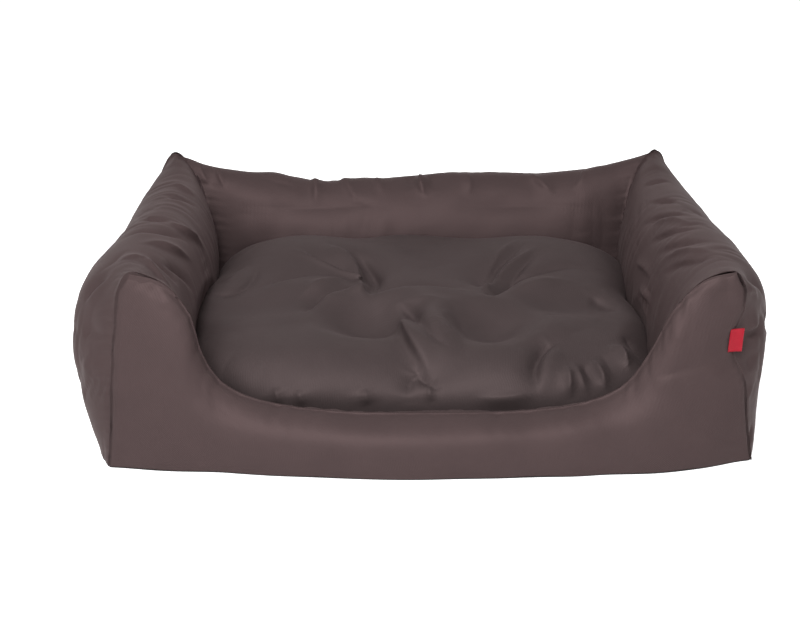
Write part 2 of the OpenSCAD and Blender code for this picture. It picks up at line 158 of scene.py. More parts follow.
lamps = [
    ("key_lamp", (-0.3, -2.2, 2.1), 0.9, 52, True),
    ("front_lamp", (-0.7, -2.4, 1.4), 1.0, 10, True),
    ("left_lamp", (-1.4, -0.6, 2.2), 1.2, 12, True),
    ("right_lamp", (2.0, -1.4, 1.8), 1.2, 3, True),
    ("back_lamp", (0.4, 2.6, 0.9), 1.2, 34, False),
]
for name, spot, size, watts, glossy in lamps:
    light = bpy.data.lights.new(name, "AREA")
    light.size = size
    light.energy = watts
    lamp = bpy.data.objects.new(name, light)
    scene.collection.objects.link(lamp)
    lamp.visible_glossy = glossy
    lamp.location = spot
    lamp.rotation_euler = (lamps_aim - Vector(spot)).to_track_quat("-Z", "Y").to_euler()


# Woven polyester of the bed, in a warm dark brown, and of the cushion, in a greyer one: a
# close plain weave of filament yarn, with a soft satin sheen, for which its shader has a
# share of metal. Its threads are 0.4 mm, and are drawn at 1.6 mm so that they show.
thread_pitch = 1.6
thread_rise = 0.12
satin_share = 0.24


def crossed(tree, *waves):
    """Threads that cross: the product of a wave along and one across the cloth's cut"""
    cut = add(tree, "ShaderNodeUVMap", uv_map="cut")
    ways = add(tree, "ShaderNodeSeparateXYZ", {0: cut.outputs[0]})
    threads = []
    for axis, wave in enumerate(waves):
        turns = {0: ways.outputs[axis], 1: 2 * math.pi / (wave * mm)}
        wide = add(tree, "ShaderNodeMath", turns, operation="MULTIPLY")
        threads.append(add(tree, "ShaderNodeMath", {0: wide.outputs[0]}, operation="SINE"))
    both = {0: threads[0].outputs[0], 1: threads[1].outputs[0]}
    return add(tree, "ShaderNodeMath", both, operation="MULTIPLY").outputs[0]


def coloured(tree, pattern, dark, light, gloss, relief=None):
    """A material's last nodes: a pattern in two colours, its gloss, and a bump's strength,
    depth and pattern"""
    tone = add(tree, "ShaderNodeMixRGB", {0: pattern, 1: linear(dark), 2: linear(light)})
    inputs = {"Base Color": tone.outputs[0], **gloss}
    if relief:
        strength, depth, height = relief
        bump = {"Strength": strength, "Distance": depth * mm, "Height": height}
        inputs["Normal"] = add(tree, "ShaderNodeBump", bump).outputs[0]
    shader = add(tree, "ShaderNodeBsdfPrincipled", inputs)
    add(tree, "ShaderNodeOutputMaterial", {"Surface": shader.outputs[0]})


def woven(name, dark, light):
    """The bed's woven cloth between two tones"""
    material, tree = new_material(name)
    spot = add(tree, "ShaderNodeTexCoord").outputs["Object"]
    noise = {"Vector": spot, "Scale": 14.0, "Detail": 3.0, "Roughness": 0.55}
    cloud = add(tree, "ShaderNodeTexNoise", noise).outputs["Fac"]
    noise = {"Vector": spot, "Scale": 420.0, "Detail": 2.0}
    slub = add(tree, "ShaderNodeTexNoise", noise).outputs["Fac"]
    weave = crossed(tree, 2 * thread_pitch, 2 * thread_pitch)
    flecked = add(tree, "ShaderNodeMath", {0: weave, 1: slub}, operation="ADD").outputs[0]
    worn = add(tree, "ShaderNodeMapRange", {"Value": cloud, "To Min": 0.48, "To Max": 0.58})
    gloss = {
        "Roughness": worn.outputs[0],
        "Sheen Weight": 0.04,
        "Sheen Roughness": 0.4,
        "Sheen Tint": linear("#d8c4c4"),
        "Specular IOR Level": 0.06,
        "Specular Tint": linear("#a09894"),
        "Metallic": satin_share,
    }
    coloured(tree, cloud, dark, light, gloss, (0.5, thread_rise, flecked))
    return material


frame_cloth = woven("woven polyester, warm brown", "#504343", "#5a4b4b")
cushion_cloth = woven("woven polyester, grey brown", "#4b4141", "#564b4b")

# Walls of the bed: the arms and the back are bolsters of fibre filling in a sewn cover. Each
# section is given from its outer foot over the crest to its inner foot, as shares of the
# wall's thickness, inwards, and of its height.
bed_w = 900
bed_d = 730
ear_h = 262
arm_h = 250
back_h = 232
peak_h = 254
arm_t = 142
back_t = 140
base_t = 2
half_w = bed_w / 2
half_d = bed_d / 2
front_reach = 110
corner_reach = 150
corner_t = 0.9 * min(arm_t, back_t)
inner_rows_share = [(0.732, 0.952), (0.873, 0.848), (0.951, 0.728), (0.993, 0.6), (1, 0.472),
                    (0.986, 0.328), (0.965, 0.18), (0.944, 0)]
arm_rows_share = [(0.085, 0), (0.035, 0.11), (0.007, 0.27), (0, 0.44), (0.01, 0.6), (0.042, 0.72),
                  (0.127, 0.84), (0.296, 0.948), (0.535, 1)] + inner_rows_share
back_rows_share = [(0.09, 0), (0.075, 0.1), (0.075, 0.28), (0.016, 0.42), (0, 0.56), (0.03, 0.7),
                   (0.12, 0.84), (0.296, 0.95), (0.535, 1)] + inner_rows_share
corner_rows_share = [(0.095, 0), (0.088, 0.107), (0.086, 0.26), (0.096, 0.42), (0.13, 0.573),
                     (0.175, 0.687), (0.25, 0.802), (0.35, 0.916), (0.476, 1), (0.62, 0.977),
                     (0.77, 0.897), (0.9, 0.775), (0.97, 0.656), (1, 0.534), (1, 0.38),
                     (0.99, 0.19), (0.975, 0)]
front_rows_share = [(0.268, 0), (0.292, 0.1), (0.324, 0.24), (0.366, 0.4), (0.42, 0.55),
                    (0.437, 0.68), (0.437, 0.8), (0.447, 0.91), (0.535, 1), (0.754, 0.969),
                    (0.908, 0.903), (1.056, 0.798), (1.141, 0.7), (1.12, 0.545), (1.092, 0.389),
                    (1.056, 0.195), (1.028, 0)]
peak_row = 8
lip_row = 12


def section(shares, thick, high):
    """A wall's section in millimetres, from its shares"""
    return np.array([[a * thick, base_t + z * (high - base_t)] for a, z in shares])


arm_mid = section(arm_rows_share, arm_t, arm_h)
back_mid = section(back_rows_share, back_t, back_h)
corner = section(corner_rows_share, corner_t, ear_h)
arm_front = section(front_rows_share, arm_t, peak_h)


def read_line(points, places):
    """Points on a smooth curve through the rows of an array, at fractional rows"""
    last = len(points) - 1
    i = np.clip(places.astype(int), 0, last - 1)
    t = (places - i).reshape((-1,) + (1,) * (points.ndim - 1))
    a, b, c, d = (points[np.clip(i + k, 0, last)] for k in (-1, 0, 1, 2))
    a = np.where((i == 0).reshape(t.shape), 2 * b - c, a)
    d = np.where((i == last - 1).reshape(t.shape), 2 * c - b, d)
    cubic = (3 * b - a - 3 * c + d) * t**3 + (2 * a - 5 * b + 4 * c - d) * t**2
    return 0.5 * (cubic + (c - a) * t + 2 * b)


def lengths(grid, axis):
    """Distance along a grid of points from its first row or column"""
    steps = np.linalg.norm(np.diff(grid, axis=axis), axis=2)
    start = np.zeros_like(np.take(steps, [0], axis=axis))
    return np.concatenate([start, np.cumsum(steps, axis=axis)], axis=axis)


def near(distance, reach):
    """1 at no distance, easing to 0 at the reach"""
    return np.maximum(0, 1 - distance / reach) ** 2


def read_grid(grid, rows, cols):
    """A grid's smooth surface at fractional rows and columns"""
    return read_line(read_line(grid, rows).transpose(1, 0, 2), cols).transpose(1, 0, 2)


def evenly(line, count):
    """The same line with evenly spaced points"""
    dense = read_line(line, np.linspace(0, len(line) - 1, 400))
    far = np.concatenate([[0], np.cumsum(np.linalg.norm(np.diff(dense, axis=0), axis=1))])
    return np.array([np.interp(np.linspace(0, far[-1], count), far, c) for c in dense.T]).T


def ripple(along, seed, shortest, longest, count=9):
    """An uneven wave between -1 and 1 with periods between two lengths"""
    chance = np.random.default_rng(seed)
    wave = np.zeros_like(along, dtype=float)
    for period, phase in zip(chance.uniform(shortest, longest, count), chance.uniform(0, 9, count)):
        wave += np.sin(2 * math.pi * along / period + phase)
    return wave / math.sqrt(count) / 1.6


def billow(points, seed, size, count=10):
    """A soft uneven field over points in space, with bumps of about one size"""
    chance = np.random.default_rng(seed)
    field = np.zeros(points.shape[:-1])
    for _ in range(count):
        way = chance.normal(size=3)
        way /= np.linalg.norm(way) * size * chance.uniform(0.7, 1.4)
        field += np.sin(2 * math.pi * (points @ way) + chance.uniform(0, 7))
    return field / math.sqrt(count)


def outwards(grid):
    """Unit normals of a grid of points"""
    down = np.gradient(grid, axis=0)
    across = np.gradient(grid, axis=1)
    normal = np.cross(down, across)
    return normal / np.maximum(np.linalg.norm(normal, axis=2, keepdims=True), 1e-9)


def rolled_in(distance, radius):
    """How far cloth sinks beside a seam, where it rolls in with a small radius"""
    short = np.clip(radius - distance, 0, radius)
    return radius - np.sqrt(np.maximum(0, radius**2 - short**2))


def edged(count, extra, ends=(True, True)):
    """Places along a grid with a few more of them close to its seamed ends"""
    places = np.linspace(0, count - 1, 2 * count - 1)
    close = np.array(extra)
    parts = [places] + [close] * ends[0] + [count - 1 - close] * ends[1]
    return np.unique(np.concatenate(parts))


def ring_faces(rings, size):
    """Faces of a closed body through rings of points, with its two ends"""
    faces = []
    for k in range(rings - 1):
        for j in range(size):
            a, b = k * size + j, k * size + (j + 1) % size
            faces.append((a, b, b + size, a + size))
    for first, flip in ((0, False), ((rings - 1) * size, True)):
        for j in range(size // 2 - 1 + size % 2):
            a, b, c, d = j, j + 1, size - 2 - j, size - 1 - j
            face = [first + a, first + d, first + c, first + b]
            face = list(dict.fromkeys(face))
            if len(face) > 2:
                faces.append(tuple(reversed(face)) if flip else tuple(face))
    return faces


def sheet_faces(rows, cols):
    """Faces of a closed body between two like grids of points"""
    count = rows * cols
    faces = []
    for r in range(rows - 1):
        for c in range(cols - 1):
            a = r * cols + c
            faces.append((a, a + 1, a + cols + 1, a + cols))
            faces.append((a + count, a + cols + count, a + cols + 1 + count, a + 1 + count))
    rim = [(0, c) for c in range(cols - 1)]
    rim += [(r, cols - 1) for r in range(rows - 1)]
    rim += [(rows - 1, c) for c in range(cols - 1, 0, -1)]
    rim += [(r, 0) for r in range(rows - 1, 0, -1)]
    for k, (r, c) in enumerate(rim):
        r2, c2 = rim[(k + 1) % len(rim)]
        p, q = r * cols + c, r2 * cols + c2
        faces.append((q, p, p + count, q + count))
    return faces


def new_piece(name, points, faces, material, cut=None):
    """A smooth mesh object from points in millimetres, with its cloth's cut as a UV map"""
    mesh = bpy.data.meshes.new(name)
    mesh.from_pydata(points * mm, [], faces)
    mesh.materials.append(material)
    mesh.shade_smooth()
    if cut is not None:
        layer = mesh.uv_layers.new(name="cut")
        at = np.zeros(len(mesh.loops), dtype=np.int32)
        mesh.loops.foreach_get("vertex_index", at)
        layer.data.foreach_set("uv", (cut[at] * mm).ravel())
        shape = bmesh.new()
        shape.from_mesh(mesh)
        bmesh.ops.remove_doubles(shape, verts=shape.verts, dist=0.001 * mm)
        shape.to_mesh(mesh)
        shape.free()
    piece = bpy.data.objects.new(name, mesh)
    scene.collection.objects.link(piece)
    return piece


def cut_of(grid):
    """Where each point of a grid lies on its flat cloth"""
    return np.stack([lengths(grid, 1), lengths(grid, 0)], axis=2).reshape(-1, 2)


def layers(face, back):
    """The points of two like grids, as one list"""
    return np.concatenate([face.reshape(-1, 3), back.reshape(-1, 3)])


def two_layers(name, face, back, material, cut):
    """A closed piece of cloth between two like grids"""
    both = np.concatenate([cut, cut])
    return new_piece(name, layers(face, back), sheet_faces(*face.shape[:2]), material, both)


settle_frames = 20


def stuffed(name, points, faces, held, slack, pressure, most):
    """The points after their cloth, cut larger by a slack, is filled and settles"""
    trial = new_piece(name, points, faces, frame_cloth)
    trial.shape_key_add(name="Basis")
    cut = trial.shape_key_add(name="Cut")
    middle = points.mean(axis=0)
    wide = (middle + (points - middle) * (1 + np.array(slack))) * mm
    cut.data.foreach_set("co", wide.ravel())
    group = trial.vertex_groups.new(name="held")
    group.add([int(k) for k in np.nonzero(held)[0]], 1, "REPLACE")
    cloth = trial.modifiers.new("cloth", "CLOTH")
    settings = cloth.settings
    settings.quality = 6
    settings.mass = 0.15
    settings.tension_stiffness = 25
    settings.compression_stiffness = 25
    settings.shear_stiffness = 8
    settings.bending_stiffness = 0.6
    settings.use_pressure = True
    settings.uniform_pressure_force = pressure
    settings.vertex_group_mass = "held"
    settings.rest_shape_key = cut
    settings.effector_weights.gravity = 0
    cloth.point_cache.frame_end = settle_frames
    for frame_number in range(1, settle_frames + 1):
        scene.frame_set(frame_number)
    settled = trial.evaluated_get(bpy.context.evaluated_depsgraph_get()).to_mesh()
    moved = np.zeros(len(settled.vertices) * 3, dtype=np.float32)
    settled.vertices.foreach_get("co", moved)
    moved = moved.reshape(-1, 3) / mm
    bpy.data.objects.remove(trial)
    scene.frame_set(1)
    step = moved - points
    far = np.linalg.norm(step, axis=1, keepdims=True)
    return points + step * np.minimum(1, most / np.maximum(far, 1e-6))


# The bed as it stands: where its filling has shifted, so that the left arm is plumper than
# the right one and the lip leans out. Each row has the middle, the reach and the shift.
bed_pushes = [
    ((-450, -215, 130), (170, 230, 170), (-19, 0, 2)),
    ((-310, -190, 120), (120, 260, 150), (-17, 0, 0)),
    ((-270, -330, 110), (110, 120, 110), (-9, 0, -3)),
    ((-390, -330, 60), (60, 90, 110), (7, 0, 0)),
    ((0, -340, 40), (420, 120, 160), (0, -11, 0)),
    ((0, -355, 74), (400, 75, 50), (0, -8, -2)),
    ((220, -345, 0), (170, 100, 60), (0, -5, 0)),
    ((440, -215, 60), (150, 200, 90), (-6, 0, 0)),
    ((388, -325, 160), (60, 60, 52), (-14, 2, 0)),
    ((-385, -325, 15), (130, 90, 100), (0, -13, 0)),
    ((315, -325, 15), (120, 90, 100), (0, -13, 0)),
    ((-150, 295, 240), (75, 140, 120), (0, 0, -8)),
    ((-50, 295, 240), (110, 140, 120), (0, 0, -4)),
    ((95, 295, 240), (150, 140, 120), (0, 0, 5)),
    ((310, 295, 240), (140, 140, 120), (0, 0, 10)),
    ((-270, 295, 240), (100, 140, 120), (0, 0, 4)),
    ((-430, -120, 215), (90, 170, 80), (-6, 0, 4)),
    ((430, -120, 215), (90, 170, 80), (4, 0, 3)),
    ((-315, -30, 105), (75, 180, 80), (-15, 0, 0)),
    ((310, -80, 105), (75, 140, 80), (12, 0, 0)),
    ((-325, 248, 150), (60, 60, 110), (-7, 7, 0)),
    ((318, 248, 150), (60, 60, 110), (7, 7, 0)),
    ((0, 228, 50), (420, 45, 60), (0, 20, 0)),
]


def nudged(points, pushes):
    """Points moved by soft pushes, each given by its middle, its reach and its shift"""
    moved = np.array(points, dtype=float)
    for middle, reach, shift in pushes:
        away = np.linalg.norm((points - np.array(middle)) / reach, axis=-1)
        moved += np.maximum(0, 1 - away**2)[..., None] ** 2 * shift
    return moved


def folded(grid, folds, free):
    """Cloth with creases: each row has a rise, a step, a width, its start's share and a line"""
    normal = outwards(grid)
    push = np.zeros(grid.shape[:2])
    for rise, step, wide, start, points in folds:
        line = evenly(np.array(points, dtype=float), 48)
        way = np.gradient(line, axis=0)
        way /= np.linalg.norm(way, axis=1, keepdims=True)
        low, high = line.min(axis=0) - 5 * wide, line.max(axis=0) + 5 * wide
        close = ((grid > low) & (grid < high)).all(axis=2)
        up = normal[close]
        gap = grid[close][:, None] - line
        lift = np.einsum("vkc,vc->vk", gap, up)
        spread = np.where(np.abs(lift) < 45, (gap**2).sum(axis=2) - lift**2, np.inf)
        k = spread.argmin(axis=1)
        gap = gap[np.arange(len(k)), k]
        side = (gap * np.cross(up, way[k])).sum(axis=1)
        past = (gap * way[k]).sum(axis=1)
        t = k / (len(line) - 1)
        fade = np.clip(np.minimum(start + t / 0.4, (1 - t) / 0.5), 0, 1)
        fade = fade * fade * (3 - 2 * fade) * np.exp(-((past / wide) ** 2))
        ridge = rise * np.exp(-np.abs(side / wide) ** 1.15)
        drop = step * np.tanh(2.5 * side / wide) * np.exp(-((side / (2.1 * wide)) ** 2))
        push[close] += fade * (ridge + drop) * np.isfinite(spread.min(axis=1))
    return grid + normal * (push * free)[..., None]


def wrinkled(grid, seed, across, long, high):
    """Height of fine creases that run one way: their spacing, length and height"""
    fine = billow(grid / (np.array(long) * across), seed, 1.0)
    calm = np.clip(0.5 + 0.7 * billow(grid, seed + 1, 150), 0, 1)
    return high * (0.5 - np.abs(fine)) * calm


def arm_rings(count, size):
    """The left arm's sections, from its front end to the mitre"""
    rings = []
    for s in (1 - np.cos(np.linspace(0, math.pi, count))) / 2:
        rows = arm_mid + near(s * arm_l, front_reach) * (arm_front - arm_mid)
        rows = rows + near((1 - s) * arm_l, corner_reach) * (corner - arm_mid)
        line = evenly(rows, size)
        y = front_y + s * (half_d - line[:, 0] - front_y)
        rings.append(np.column_stack([line[:, 0] - half_w, y, line[:, 1]]))
    return np.array(rings)


def back_rings(count, size):
    """The back's sections, from the left mitre to the right one"""
    rings = []
    for s in -np.cos(np.linspace(0, math.pi, count)):
        rows = back_mid + near((1 - abs(s)) * half_w, corner_reach) * (corner - back_mid)
        line = evenly(rows, size)
        x = s * (half_w - line[:, 0])
        rings.append(np.column_stack([x, half_d - line[:, 0], line[:, 1]]))
    return np.array(rings)


# Front seams and swells, which the arms' ends share: half of the seam on top of the lip, as
# shares of its half length and of its climb to the arm.
lip_h = 73
bow_d = 50
end_swell = 16
lip_swell = 30
fabric_t = 1.5
lip_curve_share = [(0, 0), (0.17, 0), (0.345, 0.006), (0.52, 0.035), (0.625, 0.07), (0.736, 0.145),
                   (0.81, 0.235), (0.868, 0.36), (0.91, 0.51), (0.945, 0.673), (0.974, 0.83)]
foot_bow_share = 0.9


def fall(level, roundness):
    """How far the lip's bow stands out at a level, as a share"""
    rise = foot_bow_share + (1 - foot_bow_share) * np.sin(math.pi / 2 * np.minimum(1, 2 * level))
    return rise * (1 - level**roundness) ** 0.6


def swell(across, level, roundness):
    """How far the front stands out, at a share of its half width and of its height"""
    middle = bow_d * (1 - across**2) * fall(level, roundness)
    ends = end_swell * across**2 * np.sin(math.pi * np.clip(level, 0, 1)) ** 0.7
    return np.sqrt(np.maximum(0, 1 - across**12)) * (middle + ends)


front_levels = np.array([z for a, z in front_rows_share[: peak_row + 1]])
front_y = fabric_t + swell(np.zeros(1), front_levels, 5).max() - half_d
arm_l = half_d - corner[peak_row][0] - front_y

seam_roll = 2.2
mitre_roll = 3.5
tape_gap = 0.3
close_rows = [0.06, 0.13, 0.22, 0.33, 0.47, 0.7]


def away_from(seam_gap, reach):
    """A share that grows from 0 at a seam to 1 away from it"""
    return 1 - np.exp(-seam_gap / reach)


def finished(grid, ends, pucker, seed):
    """Cloth that rolls into the seams at its ends, by a depth at each, and puckers there"""
    from_first = lengths(grid, 0)
    to_last = from_first[-1:] - from_first
    around = lengths(grid, 1)
    normal = outwards(grid)
    push = np.zeros(grid.shape[:2])
    for distance, depth, shift in ((from_first, ends[0], 0), (to_last, ends[1], 1)):
        if depth:
            wave = ripple(around + 0.25 * distance, seed + shift, 11, 46)
            push += pucker * wave * np.exp(-distance / 20) * (1 - np.exp(-distance / 3))
            push -= 0.5 * rolled_in(distance, 2 * depth)
    return grid + normal * push[..., None]


def held_flat(grid, tape, reach):
    """Cloth drawn flat behind a zip's tape, and back to its own shape round it"""
    low, high = (np.array(corner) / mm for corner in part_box(tape))
    past = np.maximum(np.maximum(low - grid, grid - high), 0)
    share = near(np.hypot(past[..., 0], past[..., 2]), reach) * (grid[..., 1] > low[1] - reach)
    flat = grid.copy()
    flat[..., 1] += share * (low[1] - tape_gap - grid[..., 1])
    return flat


def bolster(name, grid, slack, most, nodes, seed, ends, creases, folds, finer, tape=None):
    """A wall of the bed, from rings of points to its dressed piece; it gives back its grid"""
    count, size = grid.shape[:2]
    grid = nudged(grid, bed_pushes)
    faces = ring_faces(count, size)
    held = np.zeros((count, size), dtype=bool)
    held[[0, -1]] = True
    held[:, [0, 1, -2, -1]] = True
    grid = grid + outwards(grid) * (0.5 * billow(grid, seed, 60) * ~held)[..., None]
    grid = stuffed(name, grid.reshape(-1, 3), faces, held.ravel(), slack, pressure=3.0, most=most)
    grid = grid.reshape(count, size, 3)
    grid = read_line(grid, edged(count, close_rows))
    fine_rings = np.linspace(0, len(grid) - 1, int(finer * len(grid)))
    grid = read_grid(grid, fine_rings, np.linspace(0, size - 1, int(2 * finer * size)))
    along = lengths(grid, 0)
    free = away_from(np.minimum(along, along[-1:] - along), reach=12)
    grid = folded(grid, folds, free)
    grid = grid + outwards(grid) * (free * wrinkled(grid, seed, *creases))[..., None]
    grid = finished(grid, ends, pucker=1.4, seed=seed)
    if tape:
        grid = held_flat(grid, tape, reach=40)
    faces = ring_faces(*grid.shape[:2])
    piece = new_piece(name, grid.reshape(-1, 3), faces, frame_cloth, cut_of(grid)[:, ::-1])
    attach(piece, "frame")
    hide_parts(*nodes)
    return grid


# Creases of the arms and the back: where the filling has gone down, the cloth folds across
# the bolster. Each row has a rise, a step to its left side, a width, its start's share of the
# full height, and the line that it follows.
left_arm_folds = [
    (3.5, -2.6, 9, 0, [(-389, 105, 247), (-366, 86, 249), (-344, 96, 236), (-327, 112, 213)]),
    (5.3, 2.6, 7, 0, [(-397, -7, 244), (-372, -29, 250), (-355, -29, 244)]),
    (-7.5, 3.5, 7, 0, [(-365, -40, 248), (-342, -41, 234), (-326, -17, 211), (-317, 4, 188)]),
    (5.7, -2.2, 7, 0, [(-419, -124, 238), (-394, -101, 248), (-372, -101, 251), (-349, -86, 240),
        (-327, -44, 210)]),
    (-5.3, 3.1, 8, 0, [(-386, -164, 250), (-363, -148, 248), (-339, -126, 228), (-324, -80, 195)]),
    (5.7, -3.5, 6.5, 0, [(-367, -203, 249), (-348, -218, 238), (-336, -212, 219), (-330, -204, 197)]),
    (-5.7, 2.2, 6, 0, [(-375, -209, 250), (-353, -243, 242), (-337, -255, 226), (-331, -240, 208)]),
    (4.8, -3.1, 6, 0, [(-350, -204, 239), (-336, -189, 220), (-329, -161, 192), (-325, -139, 167)]),
    (5.3, -4.0, 8, 0, [(-443, -249, 193), (-434, -253, 209), (-422, -258, 223), (-402, -268, 238)]),
    (-4.4, 1.3, 9, 0, [(-398, -234, 245), (-380, -224, 250), (-361, -216, 247)]),
    (-3.5, 1.8, 8, 0, [(-382, 170, 249), (-361, 151, 248), (-346, 142, 238), (-335, 134, 225)]),
    (3.1, 0.0, 10, 0, [(-428, -235, 226), (-409, -221, 241), (-392, -182, 248)]),
    (3.5, -2.2, 10, 0, [(-449, -258, 153), (-428, -285, 167), (-408, -303, 172)]),
    (-3.1, 1.8, 12, 0, [(-449, -264, 106), (-427, -291, 125), (-408, -307, 131)]),
]
right_arm_folds = [
    (3.4, 1.7, 7, 0, [(347, 189, 239), (360, 179, 248), (379, 177, 250), (393, 178, 245)]),
    (4.2, 2.1, 6, 0, [(338, 106, 230), (355, 82, 244), (371, 55, 250), (379, 27, 250)]),
    (5.0, 2.5, 6, 0, [(323, 61, 207), (340, 29, 231), (361, -8, 247), (386, -31, 249)]),
    (-4.2, 1.3, 6, 0, [(329, 30, 217), (344, -7, 236), (361, -47, 247), (377, -77, 250)]),
    (5.5, 2.5, 6, 0, [(322, -13, 203), (335, -46, 225), (355, -78, 245), (385, -95, 249)]),
    (5.0, 2.5, 6.5, 0, [(320, -70, 200), (336, -107, 229), (359, -141, 245), (383, -165, 250)]),
    (-5.0, 1.7, 6, 0, [(321, -108, 204), (339, -147, 230), (358, -192, 247), (376, -218, 250)]),
    (5.0, 2.1, 7, 0, [(317, -133, 192), (332, -174, 222), (351, -215, 241), (381, -240, 249)]),
    (-3.8, 1.7, 7, 0, [(311, 13, 167), (314, -52, 176), (313, -116, 178)]),
    (-4.6, 2.1, 7, 0, [(315, -48, 144), (312, -114, 152), (312, -148, 145)]),
    (5.5, -3.4, 8, 0, [(392, -294, 236), (415, -257, 220), (430, -243, 202), (436, -239, 184)]),
    (-4.6, 2.5, 6, 0, [(385, -315, 230), (403, -287, 219), (416, -272, 204)]),
    (-6.3, 3.8, 9, 0.3, [(388, -304, 171), (403, -293, 173), (420, -275, 175)]),
    (5.0, -2.5, 9, 0.3, [(391, -303, 154), (407, -291, 159), (428, -267, 161)]),
    (4.2, -2.5, 12, 0, [(394, -313, 121), (408, -296, 128), (426, -272, 141)]),
    (-3.4, 2.1, 10, 0, [(399, -314, 78), (408, -300, 89), (421, -282, 101)]),
    (4.2, -2.9, 9, 0, [(406, -317, 15), (414, -301, 25), (418, -289, 45)]),
]
back_folds = [
    (-11.0, 3.5, 7, 0, [(4, 296, 236), (4, 276, 229), (6, 257, 216), (14, 246, 201)]),
    (4.8, 0.0, 9, 0, [(-13, 296, 235), (-13, 276, 228), (-10, 257, 214)]),
    (4.8, 0.0, 9, 0, [(24, 292, 236), (24, 272, 229), (27, 253, 212)]),
    (-5.7, 2.2, 8, 0, [(-320, 297, 248), (-320, 277, 241), (-315, 265, 231), (-305, 255, 215)]),
    (-5.7, -2.2, 9, 0, [(-345, 296, 251), (-345, 276, 244), (-338, 266, 232), (-327, 258, 214)]),
    (-7.9, 4.4, 9, 0, [(-167, 302, 232), (-167, 282, 225), (-165, 266, 217), (-165, 254, 207),
        (-168, 242, 192)]),
    (-5.3, 1.8, 8, 0, [(-119, 312, 232), (-119, 292, 225), (-111, 266, 219), (-103, 251, 206),
        (-99, 241, 194)]),
    (-4.0, 1.8, 8, 0, [(-66, 304, 234), (-66, 284, 227), (-61, 263, 218), (-53, 250, 205)]),
    (-4.4, -1.8, 9, 0, [(85, 294, 240), (85, 274, 233), (86, 257, 221), (79, 245, 204)]),
    (-6.2, 2.2, 9, 0, [(186, 298, 239), (186, 278, 232), (196, 265, 225), (211, 253, 215),
        (222, 247, 205)]),
    (-4.8, 1.8, 9, 0, [(267, 296, 244), (267, 276, 237), (260, 262, 227), (246, 251, 214)]),
    (6.6, 0.0, 26, 0, [(-295, 245, 191), (-203, 239, 190), (-107, 241, 192), (-12, 239, 189)]),
    (6.6, 0.0, 26, 0, [(36, 239, 189), (132, 240, 192), (228, 240, 192), (301, 244, 184)]),
]

arm = arm_rings(96, 91)
arm_creases = (30, (5, 1, 4), 1.1)
left_arm = bolster(
    "left_arm", arm, slack=(0.0, 0.06, 0.02), most=12, nodes=("left_arm_cover", "left_arm_fill"),
    seed=11, ends=(seam_roll, mitre_roll), creases=arm_creases, folds=left_arm_folds, finer=1.45,
)
mirrored = (arm * np.array([-1, 1, 1]))[::-1]
right_arm = bolster(
    "right_arm", mirrored, slack=(0.0, 0.06, 0.02), most=12,
    nodes=("right_arm_cover", "right_arm_fill"), seed=23, ends=(mitre_roll, seam_roll),
    creases=arm_creases, folds=right_arm_folds, finer=1.45,
)
back = bolster(
    "back_bolster", back_rings(130, 91), slack=(0.03, 0.0, 0.02), most=8,
    nodes=("back_cover", "back_fill"), seed=37, ends=(mitre_roll, mitre_roll),
    creases=(36, (1, 4, 5), 0.9), folds=back_folds, finer=1.3, tape="frame_zip_tape",
)

# Front of the bed: one outer panel is sewn over both arm ends and the lip, and an inner
# panel faces the cushion. The seam between them runs over the top of the lip.


def front_x(row):
    """The half width of the front at a row of the arm's end"""
    return half_w - arm_front[row][0]


def side_x(z):
    """The half width of the outer panel at a height"""
    rows = arm_front[: peak_row + 1]
    return np.interp(z, rows[:, 1], half_w - rows[:, 0])


def inner_x(z):
    """The half width of the inner panel at a height"""
    rows = arm_front[:lip_row - 1:-1]
    return np.interp(z, rows[:, 1], half_w - rows[:, 0])


lip_half = [
    (a * front_x(lip_row), lip_h + z * (arm_front[lip_row][1] - lip_h)) for a, z in lip_curve_share
]
end_half = [(front_x(k), arm_front[k][1]) for k in range(lip_row, peak_row - 1, -1)]
seam_half = np.array(lip_half + end_half)
inner_half = np.array(lip_half + [(front_x(lip_row), arm_front[lip_row][1])])


def both_sides(half, count):
    """The whole seam from its right half, with even points"""
    whole = np.concatenate([half[:0:-1] * [-1, 1], half])
    return evenly(whole, count)


def panel(name, tops, width, levels, face_y, nodes, seed, flip, folds):
    """A panel of the front, filled from behind, up to its dressed piece; it gives back its grid"""
    across = tops[:, 0] / width(tops[:, 1])
    z = base_t + levels[:, None] * (tops[:, 1] - base_t)
    x = across * width(z)
    face = np.stack([x, face_y(across[None, :] + 0 * z, levels[:, None] + 0 * z), z], axis=2)
    back = np.stack([x, front_y + 0 * x, z], axis=2)
    if flip:
        face, back = face[:, ::-1], back[:, ::-1]
    face, back = nudged(face, bed_pushes), nudged(back, bed_pushes)
    rows, cols = face.shape[:2]
    held = np.ones((2, rows, cols), dtype=bool)
    held[0, 1:-1, 1:-1] = False
    points, faces = layers(face, back), sheet_faces(rows, cols)
    slack = (0.02, 0.0, 0.01)
    points = stuffed(name, points, faces, held.ravel(), slack, pressure=2.0, most=6)
    face = points[: rows * cols].reshape(rows, cols, 3)
    face = read_grid(face, edged(rows, close_rows, (False, True)), edged(cols, close_rows))
    across, down = lengths(face, 1), lengths(face, 0)
    to_seam = np.minimum(np.minimum(across, across[:, -1:] - across), down[-1:] - down)
    free = away_from(to_seam, reach=10)
    face = folded(face, folds, free)
    face = face + outwards(face) * (free * 1.2 * billow(face, seed + 9, 110))[..., None]
    sides = (seam_roll, seam_roll)
    face = finished(face.transpose(1, 0, 2), sides, pucker=1.0, seed=seed).transpose(1, 0, 2)
    face = finished(face, (0, seam_roll), pucker=1.2, seed=seed + 5)
    back = face.copy()
    back[..., 1] = face[-1:, :, 1]
    piece = two_layers(name, face, back, frame_cloth, cut_of(face))
    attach(piece, "frame")
    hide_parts(*nodes)
    return face


